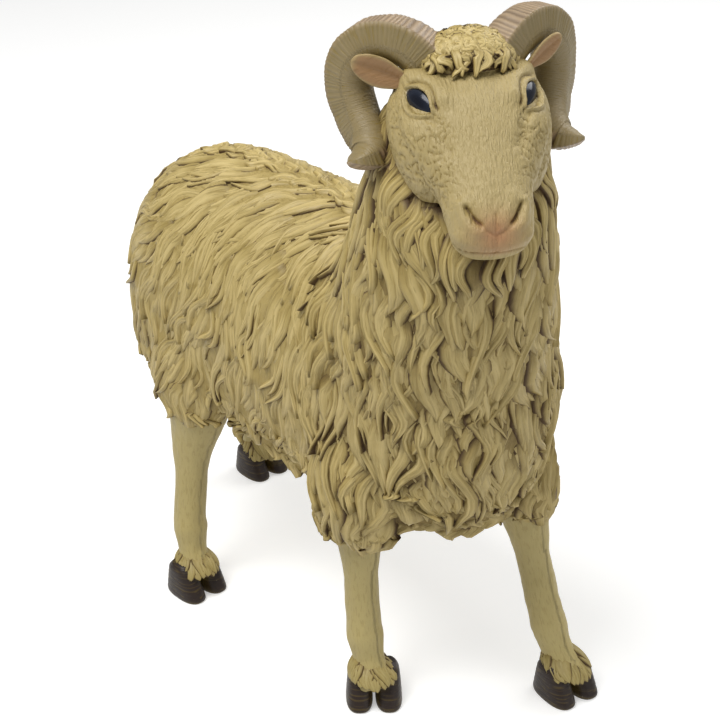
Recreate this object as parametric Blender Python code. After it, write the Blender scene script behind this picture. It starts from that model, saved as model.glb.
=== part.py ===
# Ram figurine of a nativity set, cast and painted in one piece.
# The ram faces -Y, its left side is +X and +Z is up. It stands on the flat soles of its four hooves.
# The forms are lofted, the carved fleece is laid over them lock by lock, and all of it is fused into
# one skin, as the casting is.

import bpy
import bmesh
import numpy as np
from math import cos, pi, radians, sin
from mathutils import Vector, noise
from mathutils.bvhtree import BVHTree

# Trunk, measured under the fleece
TRUNK_LENGTH = 0.268
TRUNK_WIDTH = 0.102
TRUNK_DEPTH = 0.146
BELLY_HEIGHT = 0.098
TAIL_LENGTH = 0.058
TAIL_WIDTH = 0.022
TAIL_DEPTH = 0.017

# Neck and head
NECK_RISE = 0.167
NECK_REACH = 0.105
NECK_WIDTH = 0.094
NECK_DEPTH = 0.114
HEAD_SIDESTEP = 0.0155
HEAD_LENGTH = 0.1025
HEAD_WIDTH = 0.057
HEAD_DEPTH = 0.054
HEAD_TURN = radians(31.0)
HEAD_DIP = radians(42.5)
HEAD_LEAN = radians(2.0)
EYE_LENGTH = 0.0165
EYE_HEIGHT = 0.0080
EYE_SPACING = 0.0456
EYE_PLACE = 0.0206
NOSTRIL_LENGTH = 0.0085
NOSTRIL_WIDTH = 0.0042
MOUTH_WIDTH = 0.0034
CARVED_DEPTH = 0.0030
CHEEK_LENGTH = 0.054
CHEEK_WIDTH = 0.019
LID_THICKNESS = 0.0032

# Horns and ears
HORN_LAG = radians(2.5)
HORN_REACH = 0.0455
HORN_HEIGHT = 0.0500
HORN_THICKNESS = 0.0205
HORN_RIDGE = 0.0005
HORN_RIDGE_PITCH = 0.0065
EAR_LENGTH = 0.025
EAR_WIDTH = 0.017
EAR_THICKNESS = 0.0042

# Legs and hooves
WHEELBASE = 0.2095
FRONT_TRACK = 0.080
REAR_TRACK = 0.1075
FRONT_STRIDE = 0.060
REAR_STRIDE = 0.082
SHIN_WIDTH = 0.0172
SHIN_DEPTH = 0.0182
STANCE_AHEAD = 0.0015
HOOF_LENGTH = 0.0275
HOOF_WIDTH = 0.029
HOOF_HEIGHT = 0.017
CLEFT_WIDTH = 0.0012

# Carved fleece
FRONT_HEM = 0.099
REAR_HEM = 0.110
HAUNCH_HEIGHT = 0.050
HAUNCH_WIDTH = 0.034
HAUNCH_DEPTH = 0.046
LOCK_LENGTH = 0.047
LOCK_WIDTH = 0.0138
LOCK_RISE = 0.0078
LOCK_SPACING = 0.0152
LOCK_WAVE = 0.0034
LOCK_EMBED = 0.0015
LOCK_ROOT = 0.45
TIP_SIZE = 0.0003
HEM_DROP = 0.012
SWIRL_SPAN = 0.029
SPINE_SPACING = 0.0085
FORELOCK_WIDTH = 0.042
FORELOCK_HEIGHT = 0.0165
CURL_WIDTH = 0.0066
CURL_BOW = 0.0026

# Fusing of the skin
VOXEL = 0.0017
BASE_VOXEL = 0.004
TRIANGLES = 11600
HEAD_CARE = 0.11
SOLE_EXTRA = 0.002
SEED = 7

# Rows along the trunk: place along it, rise of its axis, half width, height above and below the axis
TRUNK_ROWS = [
    (-0.475, 0.09, 0.10, 0.06, 0.07),
    (-0.460, 0.075, 0.45, 0.18, 0.29),
    (-0.398, 0.05, 0.76, 0.30, 0.48),
    (-0.295, 0.02, 0.93, 0.39, 0.55),
    (-0.165, 0.01, 0.98, 0.465, 0.545),
    (0.000, 0.00, 1.00, 0.495, 0.525),
    (0.165, 0.00, 1.01, 0.500, 0.500),
    (0.300, 0.00, 1.02, 0.492, 0.48),
    (0.418, -0.02, 0.94, 0.465, 0.47),
    (0.495, -0.06, 0.68, 0.37, 0.42),
    (0.528, -0.11, 0.18, 0.10, 0.15),
]

# Rows up the neck: place along it, bow to the ram's right and forward, half width, half depth
NECK_ROWS = [
    (0.00, 0.000, 0.000, 1.00, 1.05),
    (0.20, 0.001, 0.009, 0.99, 0.95),
    (0.43, 0.004, 0.013, 0.87, 0.81),
    (0.65, 0.005, 0.012, 0.75, 0.70),
    (0.84, 0.004, 0.007, 0.64, 0.58),
    (1.00, 0.000, 0.000, 0.49, 0.44),
]

# Rows along the head from the poll to the nose: place, rise, half width, height above and below
HEAD_ROWS = [
    (-0.166, -0.22, 0.14, 0.07, 0.11),
    (-0.146, -0.22, 0.49, 0.22, 0.30),
    (-0.059, -0.18, 0.81, 0.26, 0.45),
    (0.078, -0.14, 0.97, 0.31, 0.58),
    (0.205, -0.09, 1.02, 0.33, 0.65),
    (0.322, -0.06, 0.95, 0.31, 0.65),
    (0.449, -0.055, 0.80, 0.285, 0.54),
    (0.576, -0.037, 0.66, 0.26, 0.41),
    (0.683, -0.037, 0.63, 0.25, 0.31),
    (0.771, -0.050, 0.58, 0.21, 0.26),
    (0.820, -0.070, 0.42, 0.14, 0.17),
    (0.836, -0.080, 0.10, 0.03, 0.04),
]

# Rows of the head that lie under the wool of the poll
POLL_ROWS = 4

# Rows along a horn from its root: out, forward, up, thickness, how much wider than thick
HORN_ROWS = [
    (0.20, -0.04, -0.14, 1.00, 1.0),
    (0.33, -0.08, 0.00, 1.04, 1.0),
    (0.51, -0.16, 0.15, 1.03, 1.0),
    (0.75, -0.31, 0.16, 0.98, 1.0),
    (0.92, -0.42, 0.02, 0.95, 1.0),
    (0.97, -0.46, -0.22, 0.92, 1.0),
    (0.93, -0.39, -0.44, 0.88, 1.0),
    (0.88, -0.22, -0.63, 0.84, 1.0),
    (0.93, -0.07, -0.72, 0.70, 1.2),
    (1.06, 0.02, -0.745, 0.36, 1.9),
    (1.14, 0.05, -0.745, 0.08, 3.0),
]

# Curls over the brow: where each starts and ends, out and along the head, and to which side it bows
BROW_CURLS = [
    (-0.29, -0.01, -0.31, 0.09, 1),
    (-0.21, 0.01, -0.18, 0.125, -1),
    (-0.13, 0.02, -0.10, 0.15, 1),
    (-0.06, 0.02, -0.05, 0.125, -1),
    (0.02, 0.02, 0.03, 0.15, 1),
    (0.10, 0.02, 0.11, 0.115, -1),
    (0.18, 0.01, 0.19, 0.13, 1),
    (0.26, -0.01, 0.28, 0.115, -1),
    (-0.24, -0.09, -0.30, -0.02, -1),
    (-0.13, -0.08, -0.17, 0.01, 1),
    (-0.02, -0.08, 0.02, 0.02, -1),
    (0.12, -0.08, 0.09, 0.01, 1),
    (0.24, -0.08, 0.27, 0.00, -1),
]

# Sections of the cushion under the forelock: place along the head, size
FORELOCK_ROWS = [
    (-0.127, 0.05),
    (-0.112, 0.50),
    (-0.078, 0.80),
    (-0.029, 0.97),
    (0.010, 1.00),
    (0.049, 0.93),
    (0.083, 0.68),
    (0.102, 0.30),
    (0.107, 0.05),
]

# Rows up a leg from the hoof: height, how far it lies behind the straight line, half width, half depth
SHANK_ROWS = [
    (0.010, 0.0000, 0.64, 0.66),
    (0.024, 0.0032, 0.45, 0.45),
    (0.036, 0.0048, 0.55, 0.54),
    (0.045, 0.0054, 0.52, 0.51),
    (0.070, 0.0050, 0.50, 0.49),
    (0.092, 0.0038, 0.66, 0.68),
    (0.110, 0.0020, 0.84, 0.92),
    (0.140, 0.0000, 1.10, 1.25),
]

# Each leg: its side, front or rear, its share of the stride, where it joins the trunk, its bend,
# the turn of its hoof and how full the wool over it is
LEGS = {
    "front_right": (-1, -1, 0.5, -0.225, 1.0, radians(-38), 1.0),
    "front_left": (1, -1, -0.5, -0.335, 1.0, radians(-6), 0.7),
    "rear_right": (-1, 1, -0.5, 0.270, 1.6, radians(4), 1.0),
    "rear_left": (1, 1, 0.5, 0.455, 2.4, radians(2), 0.8),
}

# Rows up a claw: height, where below 0 is under the sole, length, width, how far it leans back
CLAW_ROWS = [
    (-1.00, 1.00, 1.00, 0.00),
    (0.00, 1.00, 1.00, 0.00),
    (0.45, 0.86, 0.95, -0.09),
    (0.85, 0.66, 0.86, -0.20),
    (1.10, 0.45, 0.62, -0.26),
]

TRUNK_HEIGHT = BELLY_HEIGHT + 0.5 * TRUNK_DEPTH
POLL = np.array([-HEAD_SIDESTEP, -NECK_REACH, TRUNK_HEIGHT + NECK_RISE])


def clear_scene():
    for old in list(bpy.data.objects):
        bpy.data.objects.remove(old, do_unlink=True)


def unit(vector):
    return vector / max(np.linalg.norm(vector), 1e-9)


def smooth_rows(rows, count):
    """Catmull-Rom curve through the rows, sampled evenly by row."""
    rows = np.array(rows, float)
    last = len(rows) - 1
    place = np.linspace(0, last, count)
    start = np.clip(place.astype(int), 0, last - 1)
    u = (place - start)[:, None]
    a, b, c, d = (rows[np.clip(start + k, 0, last)] for k in (-1, 0, 1, 2))
    return 0.5 * (2 * b + (c - a) * u + (2 * a - 5 * b + 4 * c - d) * u**2 + (3 * b - a - 3 * c + d) * u**3)


def ring(centre, across, up, half_width, rise, fall, sides, power=2.0):
    """Closed ring round a centre, a superellipse with its own height above and below."""
    turn = np.linspace(0, 2 * pi, sides, endpoint=False)
    x = np.sign(np.cos(turn)) * np.abs(np.cos(turn)) ** (2 / power) * half_width
    y = np.sign(np.sin(turn)) * np.abs(np.sin(turn)) ** (2 / power)
    y = np.where(y > 0, y * rise, y * fall)
    return centre + np.outer(x, across) + np.outer(y, up)


class Shell:
    """Collects closed forms that are fused later."""

    def __init__(self):
        self.points = []
        self.faces = []

    def loft(self, rings):
        """Closed skin over a run of rings, with a fan at each end."""
        sides = len(rings[0])
        first = len(self.points)
        for points in rings:
            self.points.extend(points)
        for k in range(len(rings) - 1):
            low = first + k * sides
            for i in range(sides):
                j = (i + 1) % sides
                self.faces.append((low + i, low + j, low + sides + j, low + sides + i))
        last = first + (len(rings) - 1) * sides
        self.faces.append(tuple(first + i for i in reversed(range(sides))))
        self.faces.append(tuple(last + i for i in range(sides)))

    def join(self, other):
        """Takes in the forms of another shell."""
        first = len(self.points)
        self.points.extend(other.points)
        self.faces.extend(tuple(first + i for i in face) for face in other.faces)

    def mesh(self, name):
        mesh = bpy.data.meshes.new(name)
        mesh.from_pydata([tuple(p) for p in self.points], [], self.faces)
        mesh.update()
        return mesh


def tube_rings(spine, half_widths, half_depths, across, sides, power=2.0):
    """Rings square to a spine, one for each of its points."""
    along = np.gradient(spine, axis=0)
    rings = []
    for k, point in enumerate(spine):
        forward = unit(along[k])
        side = unit(across - forward * (across @ forward))
        up = np.cross(forward, side)
        rings.append(ring(point, side, up, half_widths[k], half_depths[k], half_depths[k], sides, power))
    return rings


def trunk_rings():
    rings = []
    for place, lift, width, above, below in smooth_rows(TRUNK_ROWS, 34):
        centre = np.array([0, place * TRUNK_LENGTH, TRUNK_HEIGHT + lift * TRUNK_DEPTH])
        half = max(width * TRUNK_WIDTH / 2, 0.001)
        rise = max(above * TRUNK_DEPTH, 0.001)
        fall = max(below * TRUNK_DEPTH, 0.001)
        rings.append(ring(centre, np.array([-1.0, 0, 0]), np.array([0, 0, 1.0]), half, rise, fall, 32, 2.2))
    return rings


def tail_rings():
    """Short tail that hangs close behind the rump."""
    top = np.array([0, 0.43 * TRUNK_LENGTH, TRUNK_HEIGHT + 0.36 * TRUNK_DEPTH])
    bend = np.array([0, 0.525 * TRUNK_LENGTH, TRUNK_HEIGHT + 0.27 * TRUNK_DEPTH])
    middle = bend + np.array([0, 0.03 * TRUNK_LENGTH, -0.55 * TAIL_LENGTH])
    tip = bend + np.array([0, 0.02 * TRUNK_LENGTH, -TAIL_LENGTH])
    rows = smooth_rows([(*top, 0.9), (*bend, 1.0), (*middle, 0.8), (*tip, 0.25)], 14)
    return tube_rings(rows[:, :3], rows[:, 3] * TAIL_WIDTH / 2, rows[:, 3] * TAIL_DEPTH / 2,
                      np.array([1.0, 0, 0]), 16)


def neck_rings():
    foot = np.array([0, -0.22 * TRUNK_LENGTH, TRUNK_HEIGHT])
    head = POLL + np.array([0, 0, -0.37 * HEAD_DEPTH])
    rows = smooth_rows(NECK_ROWS, 20)
    spine = [foot + (head - foot) * t + np.array([-side, -ahead, 0]) for t, side, ahead, _, _ in rows]
    return tube_rings(np.array(spine), rows[:, 3] * NECK_WIDTH / 2, rows[:, 4] * NECK_DEPTH / 2,
                      np.array([1.0, 0, 0]), 28)


def head_axes():
    """Unit vectors of the turned head: to its left, along the face to the nose, and out of the brow."""
    ahead = np.array([-sin(HEAD_TURN), -cos(HEAD_TURN), 0])
    left = np.array([cos(HEAD_TURN), -sin(HEAD_TURN), 0])
    up = np.array([0, 0, 1.0])
    face = ahead * cos(HEAD_DIP) - up * sin(HEAD_DIP)
    brow = ahead * sin(HEAD_DIP) + up * cos(HEAD_DIP)
    return left * cos(HEAD_LEAN) + brow * sin(HEAD_LEAN), face, brow * cos(HEAD_LEAN) - left * sin(HEAD_LEAN)


def head_rings(rows=HEAD_ROWS, count=30):
    left, face, brow = head_axes()
    rings = []
    for place, lift, width, above, below in smooth_rows(rows, count):
        centre = POLL + face * place * HEAD_LENGTH + brow * lift * HEAD_DEPTH
        half = max(width * HEAD_WIDTH / 2, 0.0008)
        rise = max(above * HEAD_DEPTH, 0.0008)
        fall = max(below * HEAD_DEPTH, 0.0008)
        rings.append(ring(centre, left, brow, half, rise, fall, 26, 2.1))
    return rings


def head_point(out, along, lift):
    """Point of the turned head, in metres from the poll."""
    left, face, brow = head_axes()
    return POLL + left * out + face * along + brow * lift


def horn_rings(side):
    """Curled horn with close growth ridges and a keel along its outer edge."""
    turn = HEAD_TURN - HORN_LAG
    ahead = np.array([-sin(turn), -cos(turn), 0])
    left = np.array([cos(turn), -sin(turn), 0]) * cos(HEAD_LEAN)
    left = left + np.array([0, 0, sin(HEAD_LEAN)])
    up = np.cross(left, -ahead)
    up = up * np.sign(up[2])
    rows = smooth_rows(HORN_ROWS, 64)
    spine = np.array([
        POLL + left * side * out * HORN_REACH + ahead * fore * HORN_HEIGHT + up * rise * HORN_HEIGHT
        for out, fore, rise, _, _ in rows
    ])
    steps = np.linalg.norm(np.diff(spine, axis=0), axis=1)
    travel = np.concatenate([[0], np.cumsum(steps)])
    middle = spine[12:52].mean(axis=0)
    rings = []
    along = np.gradient(spine, axis=0)
    for k, point in enumerate(spine):
        forward = unit(along[k])
        outward = point - middle
        outward = unit(outward - forward * (outward @ forward))
        across = np.cross(outward, forward)
        ridge = HORN_RIDGE * cos(2 * pi * travel[k] / HORN_RIDGE_PITCH)
        half = max(rows[k, 3], 0.05) * HORN_THICKNESS / 2
        broad = half * 0.92 * rows[k, 4]
        rings.append(ring(point, across, outward, broad + ridge, half * 1.12 + ridge, half * 0.9, 14, 1.8))
    return rings


def ear_rings(side):
    """Leaf-shaped ear, hollowed on its front, that grows from behind the cheek."""
    left, face, brow = head_axes()
    root = head_point(side * 0.47 * HEAD_WIDTH, 0.06 * HEAD_LENGTH, -0.10 * HEAD_DEPTH)
    reach = unit(left * side * 0.86 - face * 0.42 + brow * 0.12)
    open_side = unit(face * 0.75 + brow * 0.35)
    flat = unit(np.cross(open_side, reach))
    open_side = np.cross(reach, flat)
    rings = []
    for share, width in ((0.0, 0.42), (0.2, 0.72), (0.45, 1.0), (0.7, 0.82), (0.88, 0.45), (1.0, 0.08)):
        centre = root + reach * share * EAR_LENGTH
        half = width * EAR_WIDTH / 2
        thick = EAR_THICKNESS / 2
        turn = np.linspace(0, 2 * pi, 14, endpoint=False)
        x = np.cos(turn) * half
        cup = 0.35 * half * (1 - (x / half) ** 2)
        y = np.sin(turn) * thick - cup
        rings.append(centre + np.outer(x, flat) + np.outer(y, open_side))
    return rings


def foot_place(side, end, stride):
    track = FRONT_TRACK if end < 0 else REAR_TRACK
    pace = FRONT_STRIDE if end < 0 else REAR_STRIDE
    return np.array([side * track / 2, end * WHEELBASE / 2 - STANCE_AHEAD + stride * pace, 0])


def leg_rings(side, end, stride, joint, bend):
    foot = foot_place(side, end, stride)
    top = np.array([side * 0.36 * TRUNK_WIDTH, joint * TRUNK_LENGTH, BELLY_HEIGHT * 1.4])
    rows = smooth_rows(SHANK_ROWS, 30)
    spine, half_widths, half_depths = [], [], []
    for height, behind, width, depth in rows:
        share = (height - rows[0, 0]) / (rows[-1, 0] - rows[0, 0])
        point = foot + (top - foot) * share
        point[1] += behind * bend
        point[2] = height * BELLY_HEIGHT / 0.1
        haunch = 1 + 0.3 * max(end, 0) * share
        spine.append(point)
        half_widths.append(width * SHIN_WIDTH)
        half_depths.append(depth * SHIN_DEPTH * haunch)
    return tube_rings(np.array(spine), half_widths, half_depths, np.array([1.0, 0, 0]), 18)


def haunch_rings(leg, end, fullness):
    """Wool that hangs over the top of a leg, from its hem up into the trunk."""
    hem = FRONT_HEM if end < 0 else REAR_HEM
    spine = np.array([points.mean(axis=0) for points in leg])
    rings = []
    for share, size in ((0.0, 0.45), (0.10, 0.78), (0.30, 1.0), (0.65, 1.0), (1.0, 0.8)):
        level = hem + share * HAUNCH_HEIGHT
        centre = np.array([np.interp(level, spine[:, 2], spine[:, k]) for k in range(2)] + [level])
        half = HAUNCH_WIDTH / 2 * size * fullness
        depth = HAUNCH_DEPTH / 2 * size * fullness * (1 + 0.25 * max(end, 0))
        rings.append(ring(centre, np.array([1.0, 0, 0]), np.array([0, 1.0, 0]), half, depth, depth, 20))
    return rings


def claw_rings(foot, side, turn):
    """One claw of a cloven hoof, from below its flat sole up to the hair."""
    ahead = np.array([sin(turn), -cos(turn), 0])
    left = np.array([cos(turn), sin(turn), 0])
    half = (HOOF_WIDTH - CLEFT_WIDTH) / 4
    rings = []
    for height, length, width, shift in CLAW_ROWS:
        level = height * HOOF_HEIGHT if height > 0 else height * SOLE_EXTRA
        centre = foot + ahead * shift * HOOF_LENGTH * 0.5
        centre = centre + left * side * (CLEFT_WIDTH / 2 + half) + np.array([0, 0, level])
        rings.append(ring(centre, left, -ahead, half * width, HOOF_LENGTH * 0.54 * length,
                          HOOF_LENGTH * 0.46 * length, 16, 2.5))
    return rings


def fused(shell, name, voxel):
    """One skin round all forms of a shell."""
    rough = bpy.data.objects.new(name, shell.mesh(name))
    bpy.context.collection.objects.link(rough)
    fuse = rough.modifiers.new("Fuse", "REMESH")
    fuse.mode = "VOXEL"
    fuse.voxel_size = voxel
    even = rough.modifiers.new("Even", "SMOOTH")
    even.factor = 0.5
    even.iterations = 1
    mesh = bpy.data.meshes.new_from_object(rough.evaluated_get(bpy.context.evaluated_depsgraph_get()))
    bpy.data.objects.remove(rough, do_unlink=True)
    return mesh


class Fleece:
    """Lays carved locks along the fall of the wool over a smooth base."""

    def __init__(self, base, shell):
        self.shell = shell
        self.dice = np.random.default_rng(SEED)
        count = len(base.vertices)
        self.points = np.empty(count * 3)
        base.vertices.foreach_get("co", self.points)
        self.points = self.points.reshape(-1, 3)
        base.calc_loop_triangles()
        corners = np.empty(len(base.loop_triangles) * 3, int)
        base.loop_triangles.foreach_get("vertices", corners)
        self.corners = corners.reshape(-1, 3)
        self.tree = BVHTree.FromPolygons(self.points.tolist(), self.corners.tolist())

    def seat(self, point):
        """Nearest place on the base and its outward direction."""
        place, outward, _, _ = self.tree.find_nearest(Vector(point))
        return np.array(place), np.array(outward)

    def zone(self, point, outward):
        """How much a place belongs to the back and to the chest and neck, each from 0 to 1."""
        behind = np.clip((point[1] + 0.36 * TRUNK_LENGTH) / (0.12 * TRUNK_LENGTH), 0, 1)
        back = np.clip((outward[2] - 0.3) / 0.4, 0, 1) * behind
        chest = np.clip((-point[1] - 0.12 * TRUNK_LENGTH) / (0.13 * TRUNK_LENGTH), 0, 1)
        return back, chest

    def scatter(self):
        """Places over the base in a fixed random order, closer on the back and wider on the chest."""
        a, b, c = (self.points[self.corners[:, k]] for k in range(3))
        square = np.cross(b - a, c - a)
        area = np.linalg.norm(square, axis=1)
        chosen = self.dice.choice(len(area), 9000, p=area / area.sum())
        u, v = self.dice.random((2, 9000, 1))
        flip = (u + v) > 1
        u, v = np.where(flip, 1 - u, u), np.where(flip, 1 - v, v)
        candidates = a[chosen] + (b - a)[chosen] * u + (c - a)[chosen] * v
        kept = np.empty((0, 3))
        for point, normal in zip(candidates, square[chosen]):
            back, chest = self.zone(point, unit(normal))
            spacing = LOCK_SPACING * (1 - 0.12 * back + 0.12 * chest)
            if len(kept) == 0 or np.min(np.sum((kept - point) ** 2, axis=1)) > spacing**2:
                kept = np.vstack([kept, point])
        return kept

    def fall(self, point, outward):
        """Direction in which the wool lies: down, swept back on the trunk, parted at the spine, wavy."""
        swept = np.clip((point[1] + 0.28 * TRUNK_LENGTH) / (0.41 * TRUNK_LENGTH), 0, 1)
        rump = np.clip((point[1] - 0.32 * TRUNK_LENGTH) / (0.19 * TRUNK_LENGTH), 0, 1)
        top = max(outward[2], 0)
        wish = np.array([np.sign(point[0]) * 0.42 * top * swept, (0.34 + 0.75 * top) * swept, -1.0])
        wish = unit(wish - outward * (wish @ outward))
        turn = (0.65 + 0.65 * rump - 0.3 * top) * noise.noise(Vector(point / SWIRL_SPAN))
        return wish * cos(turn) + np.cross(outward, wish) * sin(turn)

    def path(self, start, length, heading=None):
        """Centre line of a lock, the outward direction along it and where it hangs free."""
        point, outward = self.seat(start)
        guided = heading is None
        heading = self.fall(point, outward) if guided else heading
        points, outs, free = [point], [outward], [0.0]
        steps = 12
        stride = length / steps
        hung = 0.0
        for _ in range(steps):
            if guided:
                heading = unit(0.8 * heading + self.fall(point, outward))
            if outward[2] < -0.30:
                hung += stride
                if hung > HEM_DROP:
                    break
                point = point + unit(heading + np.array([0, 0, -1.3])) * stride
                outward = unit(outward * 0.7 + outs[0] * 0.3)
            else:
                point, outward = self.seat(point + heading * stride)
            points.append(point)
            outs.append(outward)
            free.append(min(hung / stride, 1.0))
        return np.array(points), np.array(outs), np.array(free)

    def lock(self, line, width, rise, phase):
        """Wavy lock that climbs from its root to a pointed tip over the root of the next one."""
        points, outs, free = line
        rows = smooth_rows(np.hstack([points, outs, free[:, None]]), 13)
        share = np.linspace(0, 1, len(rows))
        along = np.gradient(rows[:, :3], axis=0)
        sway = LOCK_WAVE * np.sin(2 * pi * (phase + share * 1.1)) * np.minimum(share * 3, 1)
        rings = []
        for k, row in enumerate(rows):
            forward = unit(along[k])
            outward = unit(row[3:6] - forward * (row[3:6] @ forward))
            across = np.cross(outward, forward)
            half = width / 2 * min(LOCK_ROOT + 1.6 * share[k], 1) * (1 - share[k] ** 2.6) ** 0.85 + TIP_SIZE
            lift = rise * (0.08 + 0.92 * share[k])
            seated = max(lift - 0.35 * half, 0) + LOCK_EMBED
            fall = seated * (1 - row[6]) + 0.6 * half * row[6] + TIP_SIZE
            centre = row[:3] + across * sway[k] + outward * (lift - 0.35 * half)
            rings.append(ring(centre, across, outward, half, 0.6 * half + TIP_SIZE, fall, 8, 1.8))
        self.shell.loft(rings)


def bare_of_wool(place):
    """Whether a place of the base lies under the face or the forelock."""
    left, face, brow = head_axes()
    offset = place - POLL
    out, along, lift = offset @ left, offset @ face, offset @ brow
    under_face = along > -0.03 * HEAD_LENGTH and lift > -0.45 * HEAD_DEPTH
    near_poll = abs(along) < 0.12 * HEAD_LENGTH and lift > -0.22 * HEAD_DEPTH
    under_forelock = abs(out) < 0.42 * HEAD_WIDTH and near_poll
    return under_forelock or (under_face and np.linalg.norm(offset) < 0.5 * HEAD_LENGTH)


def add_fleece(shell, base):
    """Locks over the trunk, the neck and the chest, and a ridge of short ones along the spine."""
    fleece = Fleece(base, shell)
    for place in fleece.scatter():
        place, outward = fleece.seat(place)
        vary, phase = 0.8 + 0.4 * fleece.dice.random(), fleece.dice.random()
        if outward[2] < -0.60 or bare_of_wool(place):
            continue
        back, chest = fleece.zone(place, outward)
        length = LOCK_LENGTH * vary * (1 + 0.08 * back + 0.25 * chest)
        width = LOCK_WIDTH * vary * (1 - 0.16 * back + 0.12 * chest)
        rise = LOCK_RISE * (1 - 0.50 * back + 0.25 * chest)
        fleece.lock(fleece.path(place, length), width, rise, phase)
    count = int(0.66 * TRUNK_LENGTH / SPINE_SPACING)
    for k in range(count):
        start = np.array([0.0, -0.20 * TRUNK_LENGTH + k * SPINE_SPACING, TRUNK_HEIGHT + 0.6 * TRUNK_DEPTH])
        hand = 1 if k % 2 else -1
        line = fleece.path(start, 0.42 * LOCK_LENGTH, unit(np.array([hand * 0.5, 1.0, 0.0])))
        fleece.lock(line, 0.75 * LOCK_WIDTH, 0.7 * LOCK_RISE, 0.25 * hand)


def add_forelock(shell):
    """Cushion of wool on the poll with curls that hang over the brow, between the horns."""
    left, face, brow = head_axes()
    cushion = []
    for along, size in FORELOCK_ROWS:
        centre = head_point(0, along * HEAD_LENGTH, -0.05 * HEAD_DEPTH)
        rise, fall = FORELOCK_HEIGHT * size, FORELOCK_HEIGHT * 0.9 * size
        cushion.append(ring(centre, left, brow, FORELOCK_WIDTH / 2 * size, rise, fall, 20))
    shell.loft(cushion)
    for out, along, tip_out, tip_along, hand in BROW_CURLS:
        rings = []
        for share in np.linspace(0, 1, 9):
            bow = CURL_BOW * hand * sin(share * pi * 1.45)
            side = out + (tip_out - out) * share
            place = along + (tip_along - along) * share
            dome = HEAD_DEPTH * (0.27 - 1.35 * side**2 - 0.45 * max(place, 0))
            lift = dome + 0.3 * CURL_WIDTH * sin(share * pi)
            point = head_point(side * HEAD_WIDTH + bow, place * HEAD_LENGTH, lift)
            half = CURL_WIDTH / 2 * min(LOCK_ROOT + 1.8 * share, 1) * (1 - share**3) ** 0.7 + TIP_SIZE
            rings.append(ring(point, left, brow, half, half, half * 1.4, 8))
        shell.loft(rings)


def cheek_rings(side):
    """Woolly cheek beside the jaw."""
    left, face, brow = head_axes()
    rings = []
    for share in np.linspace(-1, 1, 11):
        centre = head_point(side * (0.37 - 0.05 * share) * HEAD_WIDTH,
                            0.30 * HEAD_LENGTH + share * CHEEK_LENGTH / 2, -0.26 * HEAD_DEPTH)
        half = CHEEK_WIDTH / 2 * (1 - share**2) ** 0.5 + TIP_SIZE
        rings.append(ring(centre, left, brow, half, half * 1.3, half * 1.3, 16))
    return rings


def eye_axes(side):
    """Centre of an eye on the skin and its directions: to the outer corner, to the brow, outward."""
    left, face, brow = head_axes()
    centre = head_point(side * EYE_SPACING / 2, EYE_PLACE, 0.113 * HEAD_DEPTH)
    long = unit(left * side * 0.38 - face * 0.87 - brow * 0.31)
    outward = unit(left * side * 0.80 + brow * 0.46 + face * 0.16)
    outward = unit(outward - long * (outward @ long))
    up = np.cross(outward, long)
    return centre, long, up * np.sign(up @ brow), outward


def lid_rings(side):
    """Heavy upper lid, bowed over the eye."""
    centre, long, up, outward = eye_axes(side)
    rows = []
    for share in np.linspace(-1, 1, 9):
        bow = up * EYE_HEIGHT * (0.62 - 0.5 * share**2)
        spot = centre + long * share * EYE_LENGTH * 0.56 + bow + outward * 0.3 * LID_THICKNESS
        rows.append((*spot, LID_THICKNESS / 2 * (1 - 0.7 * share**2)))
    rows = np.array(rows)
    return tube_rings(rows[:, :3], rows[:, 3], rows[:, 3], outward, 8)


def eye_rings(side):
    """Almond swell of an eye."""
    centre, long, up, outward = eye_axes(side)
    rings = []
    for share in np.linspace(-1, 1, 9):
        size = EYE_HEIGHT / 2 * (1 - share**2) ** 0.6 + TIP_SIZE
        spot = centre + long * share * EYE_LENGTH / 2
        rings.append(ring(spot, up, outward, size, 0.55 * size, 0.8 * size, 12))
    return rings


def carve(points, normals, tree, line, width, depth):
    """Presses a groove into the skin along a line that is first laid on it."""
    fine = np.array([tree.find_nearest(Vector(point))[0] for point in smooth_rows(line, 24)])
    gap = np.min(np.linalg.norm(points[:, None, :] - fine[None, :, :], axis=2), axis=1)
    return points - normals * (depth * np.exp(-((gap / width) ** 2)))[:, None]


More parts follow.
